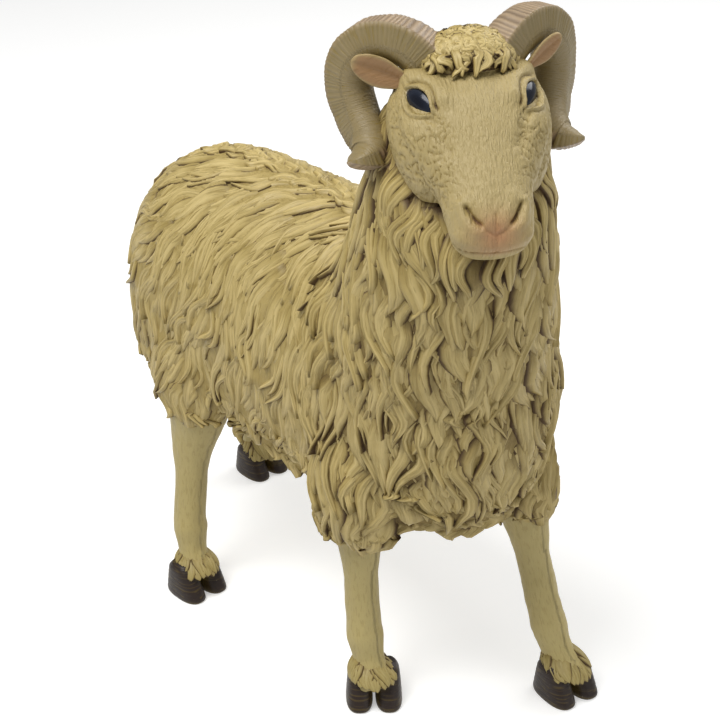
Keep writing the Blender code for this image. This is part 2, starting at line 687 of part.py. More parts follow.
def carve_face(mesh):
    """Nostrils, mouth, and the cuts below and above each eye."""
    count = len(mesh.vertices)
    points = np.empty(count * 3)
    normals = np.empty(count * 3)
    mesh.vertices.foreach_get("co", points)
    mesh.vertex_normals.foreach_get("vector", normals)
    points, normals = points.reshape(-1, 3), normals.reshape(-1, 3)
    _, face, _ = head_axes()
    near = np.nonzero(np.linalg.norm(points - (POLL + face * 0.5 * HEAD_LENGTH), axis=1) < HEAD_LENGTH)[0]
    skin, outward = points[near], normals[near]
    tree = BVHTree.FromPolygons(points.tolist(), [list(polygon.vertices) for polygon in mesh.polygons])
    for side in (-1, 1):
        nostril = [
            head_point(side * out * HEAD_WIDTH, along, lift * HEAD_DEPTH)
            for out, along, lift in (
                (0.214, 0.685 * HEAD_LENGTH, 0.170),
                (0.172, 0.685 * HEAD_LENGTH + 0.5 * NOSTRIL_LENGTH, 0.165),
                (0.116, 0.685 * HEAD_LENGTH + NOSTRIL_LENGTH, 0.155),
            )
        ]
        mouth = [
            head_point(0, 0.825 * HEAD_LENGTH, -0.05 * HEAD_DEPTH),
            head_point(side * 0.12 * HEAD_WIDTH, 0.805 * HEAD_LENGTH, -0.055 * HEAD_DEPTH),
            head_point(side * 0.23 * HEAD_WIDTH, 0.74 * HEAD_LENGTH, -0.09 * HEAD_DEPTH),
            head_point(side * 0.29 * HEAD_WIDTH, 0.645 * HEAD_LENGTH, -0.15 * HEAD_DEPTH),
        ]
        centre, long, up, _ = eye_axes(side)
        socket = [
            centre + long * cos(angle) * 0.6 * EYE_LENGTH + up * sin(angle) * 0.62 * EYE_HEIGHT
            for angle in np.linspace(-0.9 * pi, 0, 9)
        ]
        crease = [
            centre + long * share * 0.6 * EYE_LENGTH + up * EYE_HEIGHT * (1.1 - 0.6 * share**2)
            for share in np.linspace(-1, 1, 7)
        ]
        skin = carve(skin, outward, tree, nostril, NOSTRIL_WIDTH / 2, CARVED_DEPTH)
        skin = carve(skin, outward, tree, mouth, MOUTH_WIDTH / 2, CARVED_DEPTH)
        skin = carve(skin, outward, tree, socket, MOUTH_WIDTH / 2, CARVED_DEPTH * 0.6)
        skin = carve(skin, outward, tree, crease, MOUTH_WIDTH / 2, CARVED_DEPTH * 0.6)
    points[near] = skin
    mesh.vertices.foreach_set("co", points.ravel())
    mesh.update()


def outer_skin(mesh):
    """Keeps the outer skin alone, without the skins of bubbles closed in between the forms."""
    form = bmesh.new()
    form.from_mesh(mesh)
    waiting = set(form.verts)
    outer = set()
    while waiting:
        front = [waiting.pop()]
        island = set(front)
        while front:
            vertex = front.pop()
            near = {edge.other_vert(vertex) for edge in vertex.link_edges} & waiting
            waiting -= near
            island |= near
            front.extend(near)
        outer = island if len(island) > len(outer) else outer
    bmesh.ops.delete(form, geom=[vertex for vertex in form.verts if vertex not in outer], context="VERTS")
    form.to_mesh(mesh)
    form.free()


def flat_soles(mesh):
    """Cuts the hooves level with the ground and closes each claw with a flat sole."""
    form = bmesh.new()
    form.from_mesh(mesh)
    everything = form.verts[:] + form.edges[:] + form.faces[:]
    bmesh.ops.bisect_plane(form, geom=everything, dist=1e-6, plane_co=(0, 0, 0), plane_no=(0, 0, -1),
                           clear_outer=True)
    rim = [edge for edge in form.edges if edge.is_boundary]
    bmesh.ops.holes_fill(form, edges=rim, sides=0)
    bmesh.ops.triangulate(form, faces=[face for face in form.faces if len(face.verts) > 3])
    bmesh.ops.recalc_face_normals(form, faces=form.faces[:])
    form.to_mesh(mesh)
    form.free()


def thinned(mesh, name):
    """The skin with as few triangles as keep its shape, fewest where it is plain."""
    thick = bpy.data.objects.new(name, mesh)
    bpy.context.collection.objects.link(thick)
    mesh.calc_loop_triangles()
    plain = thick.vertex_groups.new(name="plain")
    left, face, brow = head_axes()
    for vertex in mesh.vertices:
        offset = np.array(vertex.co) - POLL
        on_head = offset[2] > -0.75 * HEAD_LENGTH and offset @ face > -0.3 * HEAD_LENGTH
        plain.add([vertex.index], 0.5 if on_head else 1.0, "REPLACE")
    thin = thick.modifiers.new("Thin", "DECIMATE")
    thin.ratio = TRIANGLES / len(mesh.loop_triangles)
    thin.vertex_group = plain.name
    thin.vertex_group_factor = HEAD_CARE
    result = bpy.data.meshes.new_from_object(thick.evaluated_get(bpy.context.evaluated_depsgraph_get()))
    bpy.data.objects.remove(thick, do_unlink=True)
    return result


def centre_on_box(mesh):
    """Sets the origin at the middle of the box round the ram, on the ground."""
    points = np.array([vertex.co for vertex in mesh.vertices])
    low, high = points.min(axis=0), points.max(axis=0)
    shift = np.array([(low[0] + high[0]) / 2, (low[1] + high[1]) / 2, 0])
    for vertex in mesh.vertices:
        vertex.co = Vector(np.array(vertex.co) - shift)
    return shift


def painted_resin():
    material = bpy.data.materials.new("painted_resin")
    material.use_nodes = True
    surface = material.node_tree.nodes["Principled BSDF"]
    surface.inputs["Base Color"].default_value = (0.55, 0.44, 0.22, 1)
    surface.inputs["Roughness"].default_value = 0.6
    surface.inputs["Metallic"].default_value = 0.0
    return material


def build_ram():
    clear_scene()
    wool = Shell()
    wool.loft(trunk_rings())
    wool.loft(neck_rings())
    wool.loft(tail_rings())
    wool.loft(head_rings(HEAD_ROWS[:POLL_ROWS], 10))
    body = Shell()
    body.loft(head_rings())
    for side, end, stride, joint, bend, turn, fullness in LEGS.values():
        leg = leg_rings(side, end, stride, joint, bend)
        body.loft(leg)
        wool.loft(haunch_rings(leg, end, fullness))
        foot = foot_place(side, end, stride)
        for claw in (-1, 1):
            body.loft(claw_rings(foot, claw, turn))
    for side in (-1, 1):
        body.loft(horn_rings(side))
        body.loft(ear_rings(side))
        body.loft(cheek_rings(side))
        body.loft(lid_rings(side))
        body.loft(eye_rings(side))
    add_forelock(body)
    base = fused(wool, "fleece_base", BASE_VOXEL)
    add_fleece(body, base)
    body.join(wool)

    skin = fused(body, "skin", VOXEL)
    outer_skin(skin)
    carve_face(skin)
    skin = thinned(skin, "skin")
    flat_soles(skin)
    shift = centre_on_box(skin)
    skin.materials.clear()
    skin.materials.append(painted_resin())
    skin.shade_smooth()
    ram = bpy.data.objects.new("ram_figurine", skin)
    bpy.context.collection.objects.link(ram)
    print("ram_figurine:", len(skin.polygons), "faces, origin moved by", np.round(shift * 1000, 2), "mm")
    return ram


build_ram()
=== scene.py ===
# %% [markdown]
# # A carved ram for a nativity scene
# The object is one casting of resin, as tall as a forearm, that a painter has finished by hand: cream
# paint all over, a thin brown wash that stays in the cuts of the fleece, taupe horns, dark hooves and
# shiny eyes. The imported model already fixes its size, its stance and the turn of its head, so this
# lesson starts from that frame and adds the surface that an eye sees: every lock of wool, the growth
# rings of the horns, the modelled face and the paint.

# %% Frame
from math import cos, pi, radians, sin

import bpy
import numpy as np
from mathutils import Matrix, Vector, noise
from mathutils.bvhtree import BVHTree


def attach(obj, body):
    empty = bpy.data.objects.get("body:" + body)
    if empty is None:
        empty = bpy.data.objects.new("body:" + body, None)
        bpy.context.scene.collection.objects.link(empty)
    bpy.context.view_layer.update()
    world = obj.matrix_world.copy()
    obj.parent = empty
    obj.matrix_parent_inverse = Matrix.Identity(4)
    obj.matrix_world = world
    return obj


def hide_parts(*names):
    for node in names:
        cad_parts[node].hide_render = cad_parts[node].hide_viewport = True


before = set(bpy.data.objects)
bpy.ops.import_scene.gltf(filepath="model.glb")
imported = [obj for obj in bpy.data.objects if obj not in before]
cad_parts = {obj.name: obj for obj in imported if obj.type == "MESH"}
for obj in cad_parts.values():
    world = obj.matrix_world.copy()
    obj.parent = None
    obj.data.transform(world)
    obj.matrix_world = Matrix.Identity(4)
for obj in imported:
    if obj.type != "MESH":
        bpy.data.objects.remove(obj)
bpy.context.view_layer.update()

# %% [markdown]
# The frame stands on the middle of its box, and the sculptor's measures start from the spot on the
# ground under the belly. One vector leads from the one to the other. All lengths are metres, the ram
# looks along -Y and its left side is +X.

# %% Measures
ORIGIN = np.array([0.00002, -0.00142, 0.0])
TRUNK_LENGTH, TRUNK_WIDTH, TRUNK_DEPTH = 0.268, 0.102, 0.146
BELLY_HEIGHT = 0.098
TRUNK_HEIGHT = BELLY_HEIGHT + 0.5 * TRUNK_DEPTH
NECK_WIDTH, NECK_DEPTH = 0.094, 0.114
HEAD_LENGTH, HEAD_WIDTH, HEAD_DEPTH = 0.1025, 0.057, 0.054
HEAD_TURN, HEAD_DIP, HEAD_LEAN = radians(31.0), radians(42.5), radians(2.0)
POLL = np.array([-0.0155, -0.105, TRUNK_HEIGHT + 0.167])
X_AXIS, Y_AXIS, Z_AXIS = np.eye(3)
dice = np.random.default_rng(11)
print("poll of the head at", np.round(POLL * 1000, 1), "mm")

# %% [markdown]
# ## Tools of the workshop
# A sculptor builds up a figure from a few big masses before any hair goes on. Here each mass is a
# loft: a row of measured sections along a line, with a smooth curve run through the rows, so a
# handful of numbers gives a full form.


# %% Curves and sections
def unit(vectors):
    """Vectors scaled to length one."""
    return vectors / np.maximum(np.linalg.norm(vectors, axis=-1, keepdims=True), 1e-9)


def smooth_rows(rows, count):
    """Catmull-Rom curve through the rows, sampled evenly by row."""
    rows = np.array(rows, float)
    last = len(rows) - 1
    place = np.linspace(0, last, count)
    start = np.clip(place.astype(int), 0, last - 1)
    u = (place - start)[:, None]
    a, b, c, d = (rows[np.clip(start + k, 0, last)] for k in (-1, 0, 1, 2))
    bend = (2 * a - 5 * b + 4 * c - d) * u**2 + (3 * b - a - 3 * c + d) * u**3
    return 0.5 * (2 * b + (c - a) * u + bend)


def step(low, high, values):
    """Smooth step from 0 at low to 1 at high."""
    t = np.clip((np.asarray(values, float) - low) / (high - low), 0, 1)
    return t * t * (3 - 2 * t)


def circle(sides):
    """Angles of the points of a ring."""
    return np.linspace(0, 2 * pi, sides, endpoint=False)


def squared(values, power):
    """Cosines or sines drawn from a circle, with power 2, towards a square."""
    return np.sign(values) * np.abs(values) ** (2 / power)


def oval(centre, across, up, half_width, rise, fall, sides, power=2.0):
    """Closed ring round a centre, a superellipse with its own height above and below."""
    turn = circle(sides)
    x = squared(np.cos(turn), power) * half_width
    y = squared(np.sin(turn), power)
    return centre + np.outer(x, across) + np.outer(np.where(y > 0, y * rise, y * fall), up)


# %% Tubes along a line
def tube(spine, half_widths, half_depths, across, sides):
    """Rings square to a spine, one for each of its points."""
    rings = []
    for point, ahead, half, deep in zip(spine, unit(np.gradient(spine, axis=0)), half_widths, half_depths):
        side = unit(across - ahead * (across @ ahead))
        rings.append(oval(point, side, np.cross(ahead, side), half, deep, deep, sides))
    return np.array(rings)


def travelled(spine):
    """Length of the way from the start of a spine to each of its points."""
    return np.concatenate([[0], np.cumsum(np.linalg.norm(np.diff(spine, axis=0), axis=1))])


print("a curve through 0, 1 and 3, sampled five times:", smooth_rows([[0], [1], [3]], 5).ravel())

# %% [markdown]
# Paint settles where the clay was cut deep, and shade lies there too. To let a material know where
# that is, each mesh carries two values on its points: `height`, from 0 at the bottom of a cut to 1
# on a crest, which sets the wash, a painted shade in the cuts and a painted highlight on the crests,
# and `comb`, a place measured across and along the hair, so that fine strands follow each lock.


# %% Collecting forms into a mesh
class Forms:
    """Closed lofts, with how high each point lies and where it lies in its own lock."""

    def __init__(self):
        self.points, self.faces, self.height, self.comb = [], [], [], []
        self.count = 0

    def loft(self, rings, height=None, comb=None):
        """Skins a run of rings, an array of rings by sides by 3, and closes both ends."""
        rings = np.asarray(rings)
        size = rings.shape[0] * rings.shape[1]
        start = self.count + np.arange(size).reshape(rings.shape[:2])
        low, high = start[:-1], start[1:]
        quads = np.stack([low, np.roll(low, -1, 1), np.roll(high, -1, 1), high], -1).reshape(-1, 4)
        self.faces += quads.tolist() + [start[0, ::-1].tolist(), start[-1].tolist()]
        self.points.append(rings.reshape(-1, 3))
        self.height.append(np.ones(size) if height is None else np.asarray(height).ravel())
        self.comb.append(np.zeros((size, 3)) if comb is None else np.asarray(comb).reshape(-1, 3))
        self.count += size

    def mesh(self, name):
        """The collected forms as one mesh."""
        mesh = bpy.data.meshes.new(name)
        mesh.from_pydata(np.vstack(self.points).tolist(), [], self.faces)
        mesh.update()
        store(mesh, "height", np.concatenate(self.height))
        store(mesh, "comb", np.vstack(self.comb))
        mesh.shade_smooth()
        return mesh


def store(mesh, name, values):
    """Keeps a number or a vector for every point of a mesh, for its material to read."""
    kind, field = ("FLOAT", "value") if values.ndim == 1 else ("FLOAT_VECTOR", "vector")
    if name not in mesh.attributes:
        mesh.attributes.new(name, kind, "POINT")
    mesh.attributes[name].data.foreach_set(field, values.astype(np.float32).ravel())


def store_comb(mesh, across, along):
    """Keeps where every point of a mesh lies across and along the hair."""
    store(mesh, "comb", np.stack([across, along, 0 * across], -1))


sample = Forms()
sample.loft(tube(np.outer([0, 1, 2], Z_AXIS), [1, 1, 1], [1, 1, 1], X_AXIS, 8))
print("a tube of three rings of eight points has", len(sample.faces), "faces")

# %% [markdown]
# Later steps treat a mesh as an array of numbers: all points are read at once, moved and written back.
# A search tree tells which spot of a skin is the nearest to a place.


# %% Reading and changing a mesh
def read_points(mesh):
    """Places of a mesh's points and their outward directions."""
    read = []
    for source, field in ((mesh.vertices, "co"), (mesh.vertex_normals, "vector")):
        values = np.empty(len(source) * 3, np.float32)
        source.foreach_get(field, values)
        read.append(values.reshape(-1, 3).astype(float))
    return read


def write_points(mesh, points):
    """Sets the places of a mesh's points."""
    mesh.vertices.foreach_set("co", points.astype(np.float32).ravel())
    mesh.update()


def skin_tree(mesh):
    """Search tree over a mesh, for finding the nearest spot of its skin."""
    points, _ = read_points(mesh)
    return BVHTree.FromPolygons(points.tolist(), [tuple(face.vertices) for face in mesh.polygons])


# %% [markdown]
# A casting has one skin. A voxel remesh gives overlapping forms such a skin, as if the clay had been
# pressed together, and a few rounds of smoothing take off the small steps that it leaves.


# %% Fusing forms
def fuse(forms, name, voxel, rounds, finer=0):
    """One skin round overlapping forms: a voxel remesh, some smoothing, and finer faces if asked."""
    rough = bpy.data.objects.new(name, forms.mesh(name))
    bpy.context.collection.objects.link(rough)
    remesh = rough.modifiers.new("Fuse", "REMESH")
    remesh.mode, remesh.voxel_size = "VOXEL", voxel
    even = rough.modifiers.new("Even", "SMOOTH")
    even.factor, even.iterations = 0.5, rounds
    if finer:
        rough.modifiers.new("Finer", "SUBSURF").levels = finer
    ready = rough.evaluated_get(bpy.context.evaluated_depsgraph_get())
    mesh = bpy.data.meshes.new_from_object(ready)
    bpy.data.objects.remove(rough, do_unlink=True)
    mesh.name = name
    mesh.shade_smooth()
    return mesh


# %% [markdown]
# A point lies in a hollow if the mean of its neighbours lies outward of it, and on a crest if that
# mean lies inward. This measure tells the wash and the painted shade where the modelling tool has
# cut, and the painted highlight where it left a crest.


# %% Hollows of a skin
def edge_ends(mesh):
    """The two points of every edge of a mesh."""
    return np.array([edge.vertices[:] for edge in mesh.edges])


def mean_of_neighbours(values, ends):
    """For every point, the mean of the values of the points that its edges lead to."""
    total = np.zeros(len(values))
    for near, far in ((0, 1), (1, 0)):
        total += np.bincount(ends[:, near], values[ends[:, far]], len(values))
    return total / np.bincount(ends.ravel(), minlength=len(values)).clip(1)


def soften(values, ends, rounds):
    """Values evened out between neighbouring points, a few times over."""
    for _ in range(rounds):
        values = 0.5 * values + 0.5 * mean_of_neighbours(values, ends)
    return values


def hollows(mesh):
    """How hollow (above 0) or crested (below 0) a mesh is at each point, as a share of its grain."""
    points, normals = read_points(mesh)
    ends = edge_ends(mesh)
    grain = np.mean(np.linalg.norm(points[ends[:, 0]] - points[ends[:, 1]], axis=1))
    around = np.stack([mean_of_neighbours(axis, ends) for axis in points.T], -1)
    return soften(np.sum((around - points) * normals, axis=1) / grain, ends, 1)


# %% [markdown]
# The ram is one casting, so every piece made here takes the same way into the scene: it is moved into
# the frame, rides on the one body that there is, and takes a share in replacing its plain solid.


# %% Placing a piece
def place(mesh, name, material):
    """Moves a finished mesh from the sculptor's measures into the frame, as a piece of the ram."""
    mesh.transform(Matrix.Translation(-Vector(ORIGIN)))
    piece = bpy.data.objects.new(name, mesh)
    bpy.context.collection.objects.link(piece)
    mesh.materials.clear()
    mesh.materials.append(material)
    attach(piece, "root")
    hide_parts("ram_figurine")
    print(f"{name}: {sum(len(face.vertices) - 2 for face in mesh.polygons)} triangles")


# %% [markdown]
# ## Paint
# Two effects come back on every part of the ram, so each one is a node group. The first is the wash:
# thin brown paint is brushed on and wiped off, and what is left lies in the cuts. The group turns
# the stored height, the closeness of other surfaces and some unevenness of the brush into two masks:
# the wash itself, and a wider painted shade around it, which darkens the cuts and the spots close
# under other surfaces as if less light reached them.


# %% Helpers for nodes
def add_node(tree, kind, sockets=None, **settings):
    """Makes a node, sets its options, and links or sets the sockets named or numbered in a dict."""
    made = tree.nodes.new(kind)
    for name, value in settings.items():
        setattr(made, name, value)
    for key, value in (sockets or {}).items():
        if isinstance(value, bpy.types.NodeSocket):
            tree.links.new(value, made.inputs[key])
        else:
            made.inputs[key].default_value = value
    return made


def maths(tree, operation, a, b=0.0, c=0.0, clamp=False):
    """Output of a Math node."""
    sockets = {0: a, 1: b, 2: c}
    return add_node(tree, "ShaderNodeMath", sockets, operation=operation, use_clamp=clamp).outputs[0]


def blend(tree, share, first, second):
    """Colour between two colours."""
    sockets = {0: share, 6: first, 7: second}
    return add_node(tree, "ShaderNodeMix", sockets, data_type="RGBA").outputs[2]


def remap(tree, value, low, high, top=1.0, curve="SMOOTHSTEP"):
    """The span from low to high stretched over 0 to top."""
    sockets = {0: value, 1: low, 2: high, 3: 0.0, 4: top}
    return add_node(tree, "ShaderNodeMapRange", sockets, interpolation_type=curve).outputs[0]


def mottle(tree, spot, scale, detail, **more):
    """Output of a noise over a spot."""
    sockets = {"Vector": spot, "Scale": scale, "Detail": detail, **more}
    return add_node(tree, "ShaderNodeTexNoise", sockets).outputs[0]


def stored(tree, name, output="Fac"):
    """A value that the mesh keeps on its points."""
    return add_node(tree, "ShaderNodeAttribute", attribute_name=name).outputs[output]


def new_group(name, inputs, outputs):
    """A node group with its sockets. An input without a number takes a vector."""
    group = bpy.data.node_groups.new(name, "ShaderNodeTree")
    for label, default in inputs.items():
        kind = "NodeSocketVector" if default is None else "NodeSocketFloat"
        socket = group.interface.new_socket(label, in_out="INPUT", socket_type=kind)
        if default is not None:
            socket.default_value = default
    for label in outputs:
        group.interface.new_socket(label, in_out="OUTPUT", socket_type="NodeSocketFloat")
    given, result = (group.nodes.new(kind) for kind in ("NodeGroupInput", "NodeGroupOutput"))
    return group, given.outputs, result.inputs


def new_paint(name):
    """A material with its node tree and its shader."""
    material = bpy.data.materials.new(name)
    material.use_nodes = True
    return material, material.node_tree, material.node_tree.nodes["Principled BSDF"]


# %% The wash and a painted shade
wash_and_shade_group, given, result = new_group(
    "settled_wash_and_shade", {"Height": 1.0, "Reach": 0.006, "Amount": 0.5, "Place": None}, ["Wash", "Shade"])
near = add_node(wash_and_shade_group, "ShaderNodeAmbientOcclusion", {"Distance": given["Reach"]}, samples=8)
closed = maths(wash_and_shade_group, "SUBTRACT", 1.0, near.outputs["AO"])
low = maths(wash_and_shade_group, "SUBTRACT", 1.0, given["Height"])
brush = mottle(wash_and_shade_group, given["Place"], 90.0, 4.0, Roughness=0.6)
depth = maths(wash_and_shade_group, "MULTIPLY_ADD", closed, 0.75, low)
depth = maths(wash_and_shade_group, "ADD", depth, maths(wash_and_shade_group, "MULTIPLY_ADD", brush, 0.5, -0.25))
depth = maths(wash_and_shade_group, "ADD", given["Amount"], depth)
wash_and_shade_group.links.new(remap(wash_and_shade_group, depth, 0.92, 1.65), result["Wash"])
wash_and_shade_group.links.new(remap(wash_and_shade_group, depth, 0.45, 1.35), result["Shade"])
print("wash group:", len(wash_and_shade_group.nodes), "nodes")

# %% [markdown]
# The second effect is the mark of the modelling tool: fine parallel strands that run with the hair.
# A noise that is squeezed across the hair and stretched along it gives such strands. The same noise
# serves twice, as relief for the light and as faint lines for the paint.

# %% Combed strands
strand_group, given, result = new_group(
    "combed_strands", {"Comb": None, "Pitch": 0.0012, "Stretch": 12.0}, ["Relief", "Lines"])
parts = add_node(strand_group, "ShaderNodeSeparateXYZ", {0: given["Comb"]}).outputs
across = maths(strand_group, "DIVIDE", parts[0], given["Pitch"])
slow = maths(strand_group, "MULTIPLY", given["Pitch"], given["Stretch"])
along = maths(strand_group, "DIVIDE", parts[1], slow)
apart = maths(strand_group, "MULTIPLY", parts[2], 400.0)
squeezed = add_node(strand_group, "ShaderNodeCombineXYZ", {0: across, 1: along, 2: apart})
hair = mottle(strand_group, squeezed.outputs[0], 1.0, 2.5, Roughness=0.55, Distortion=0.35)
strand_group.links.new(hair, result["Relief"])
strand_group.links.new(remap(strand_group, hair, 0.47, 0.36), result["Lines"])
print("strand group:", len(strand_group.nodes), "nodes")

# %% [markdown]
# The painter mixed one cream for the wool and warmer or darker tones of it for the rest, so all of
# these materials are made by one recipe. A row of the table holds what differs: how much wash and
# painted shade there is and how far it reaches out of a cut, how wide the strands are and how many
# times longer, how high they stand, how rough the paint is, how clear the lines are, and the two
# colours: a lighter one painted on the crests as highlight, and the base. The chest and the neck
# have a row with more wash and painted shade, for they lie under the head.

# %% Recipe for painted hair
# The lighter cream is painted on crests as highlight, the olive into the cuts as painted shade, and the dark
# brown is the real wash.
CREAM, CREAM_HIGHLIGHT = (0.47, 0.355, 0.125, 1), (0.76, 0.61, 0.285, 1)
OLIVE_SHADE, WASH = (0.225, 0.156, 0.030, 1), (0.075, 0.040, 0.012, 1)
PAINTS = {
    "fleece_paint": (0.38, 0.006, 0.0011, 14.0, 0.0008, 0.42, 0.45, CREAM_HIGHLIGHT, CREAM),
    "chest_wash_and_shade_paint": (0.52, 0.008, 0.0012, 14.0, 0.0008, 0.44, 0.45, CREAM_HIGHLIGHT, CREAM),
    "fleece_ground_paint": (0.36, 0.006, 0.0014, 10.0, 0.0012, 0.55, 0.45, CREAM_HIGHLIGHT, CREAM),
    "face_paint": (0.46, 0.0035, 0.0010, 3.6, 0.0010, 0.46, 0.16,
                   (0.44, 0.345, 0.155, 1), (0.35, 0.265, 0.10, 1)),
    "horn_paint": (0.30, 0.006, 0.0006, 10.0, 0.0004, 0.42, 0.60,
                   (0.31, 0.235, 0.115, 1), (0.21, 0.162, 0.068, 1)),
    "ear_paint": (0.40, 0.006, 0.0009, 8.0, 0.0004, 0.50, 0.45,
                  (0.42, 0.31, 0.145, 1), (0.33, 0.235, 0.095, 1)),
    "leg_paint": (0.38, 0.010, 0.0010, 5.0, 0.0005, 0.46, 0.25,
                  (0.48, 0.39, 0.165, 1), (0.37, 0.29, 0.10, 1)),
    "hoof_paint": (0.30, 0.008, 0.0010, 8.0, 0.0003, 0.36, 0.20,
                   (0.034, 0.021, 0.015, 1), (0.016, 0.010, 0.008, 1)),
}


# %% Mixing a paint
def hair_paint(name):
    """A paint of the table: the material, its tree and shader, its colour and its place node."""
    amount, reach, pitch, stretch, relief, roughness, clear, light, base = PAINTS[name]
    material, tree, surface = new_paint(name)
    height = stored(tree, "height")
    spot = add_node(tree, "ShaderNodeTexCoord").outputs["Object"]
    sockets = {"Height": height, "Reach": reach, "Amount": amount, "Place": spot}
    wash = add_node(tree, "ShaderNodeGroup", sockets, node_tree=wash_and_shade_group).outputs
    sockets = {"Comb": stored(tree, "comb", "Vector"), "Pitch": pitch, "Stretch": stretch}
    strands = add_node(tree, "ShaderNodeGroup", sockets, node_tree=strand_group).outputs
    patches = mottle(tree, spot, 22.0, 3.0)
    # Crests take the lighter colour as a painted highlight, mixed with random patches of tone.
    crest = remap(tree, height, 0.55, 1.0, 0.75, "LINEAR")
    patchy = maths(tree, "MULTIPLY_ADD", patches, 1.1, -0.45, clamp=True)
    lit = maths(tree, "MULTIPLY", maths(tree, "ADD", crest, patchy), 0.6, clamp=True)
    colour = blend(tree, lit, base, light)
    # The olive is a painted shade: the shade mask lays it in and around the cuts and under other surfaces,
    # and the strand lines lay it in their fine grooves. The wash after it is the real brown paint in the
    # deepest cuts.
    colour = blend(tree, maths(tree, "MULTIPLY", wash["Shade"], 0.74), colour, OLIVE_SHADE)
    colour = blend(tree, maths(tree, "MULTIPLY", strands["Lines"], clear), colour, OLIVE_SHADE)
    colour = blend(tree, wash["Wash"], colour, WASH)
    rough = maths(tree, "MULTIPLY_ADD", wash["Wash"], 0.25, roughness)
    rough = maths(tree, "MULTIPLY_ADD", patches, 0.12, rough)
    grain = {"Strength": 0.25, "Distance": 0.0003, "Height": mottle(tree, spot, 1400.0, 2.0)}
    fine = add_node(tree, "ShaderNodeBump", grain).outputs[0]
    combed = {"Strength": 1.0, "Distance": relief, "Height": strands["Relief"], "Normal": fine}
    bump = add_node(tree, "ShaderNodeBump", combed).outputs[0]
    for value, label in ((colour, "Base Color"), (rough, "Roughness"), (bump, "Normal")):
        tree.links.new(value, surface.inputs[label])
    return material, tree, surface, colour, spot


fleece_paint = hair_paint("fleece_paint")[0]
chest_wash_and_shade_paint = hair_paint("chest_wash_and_shade_paint")[0]
ground_paint = hair_paint("fleece_ground_paint")[0]
print("fleece paint:", len(fleece_paint.node_tree.nodes), "nodes")

# %% [markdown]
# ## Big masses
# The rows below give the trunk, the neck and the head as measured sections, the way a maker of
# armatures notes them: place along the part, rise of its middle line, half width, height above and
# height below. A row of the neck has two offsets, to the right and to the front, then width and
# depth. Shares of the named measures keep the rows short.

# %% Trunk, neck and tail
TRUNK_ROWS = [
    (-0.475, 0.09, 0.10, 0.06, 0.07), (-0.460, 0.075, 0.45, 0.18, 0.29),
    (-0.398, 0.05, 0.76, 0.30, 0.48), (-0.295, 0.02, 0.93, 0.39, 0.55),
    (-0.165, 0.01, 0.98, 0.465, 0.545), (0.000, 0.00, 1.00, 0.495, 0.525),
    (0.165, 0.00, 1.01, 0.500, 0.500), (0.300, 0.00, 1.02, 0.492, 0.48),
    (0.418, -0.02, 0.94, 0.465, 0.47), (0.495, -0.06, 0.68, 0.37, 0.42),
    (0.528, -0.11, 0.18, 0.10, 0.15),
]
NECK_ROWS = [
    (0.00, 0.000, 0.000, 1.00, 1.05), (0.20, 0.001, 0.009, 0.99, 0.95),
    (0.43, 0.004, 0.013, 0.87, 0.81), (0.65, 0.005, 0.012, 0.75, 0.70),
    (0.84, 0.004, 0.007, 0.64, 0.58), (1.00, 0.000, 0.000, 0.49, 0.44),
]


def trunk_rings():
    rings = []
    for share, lift, width, above, below in smooth_rows(TRUNK_ROWS, 34):
        centre = np.array([0, share * TRUNK_LENGTH, TRUNK_HEIGHT + lift * TRUNK_DEPTH])
        half = max(width * TRUNK_WIDTH / 2, 0.001)
        rise, fall = max(above * TRUNK_DEPTH, 0.001), max(below * TRUNK_DEPTH, 0.001)
        rings.append(oval(centre, -X_AXIS, Z_AXIS, half, rise, fall, 32, 2.2))
    return rings


def neck_rings():
    foot = np.array([0, -0.22 * TRUNK_LENGTH, TRUNK_HEIGHT])
    top = POLL - Z_AXIS * 0.37 * HEAD_DEPTH
    rows = smooth_rows(NECK_ROWS, 20)
    spine = foot + (top - foot) * rows[:, :1]
    spine = spine - np.outer(rows[:, 1], X_AXIS) - np.outer(rows[:, 2], Y_AXIS)
    return tube(spine, rows[:, 3] * NECK_WIDTH / 2, rows[:, 4] * NECK_DEPTH / 2, X_AXIS, 28)


def tail_rings():
    hang = 0.058
    top = np.array([0, 0.43 * TRUNK_LENGTH, TRUNK_HEIGHT + 0.36 * TRUNK_DEPTH])
    bend = np.array([0, 0.525 * TRUNK_LENGTH, TRUNK_HEIGHT + 0.27 * TRUNK_DEPTH])
    middle = bend + np.array([0, 0.03 * TRUNK_LENGTH, -0.55 * hang])
    tip = bend + np.array([0, 0.02 * TRUNK_LENGTH, -hang])
    rows = smooth_rows([(*top, 0.9), (*bend, 1.0), (*middle, 0.8), (*tip, 0.25)], 14)
    return tube(rows[:, :3], rows[:, 3] * 0.011, rows[:, 3] * 0.0085, X_AXIS, 16)


print("the trunk is", round(float(np.ptp(np.array(trunk_rings())[..., 0])) * 1000, 1), "mm wide")

# %% [markdown]
# The head is turned to the ram's right and dips, so its sections are set out in three directions of
# its own: to its left, along the face to the nose, and out of the brow. Every feature of the face is
# placed in these three.

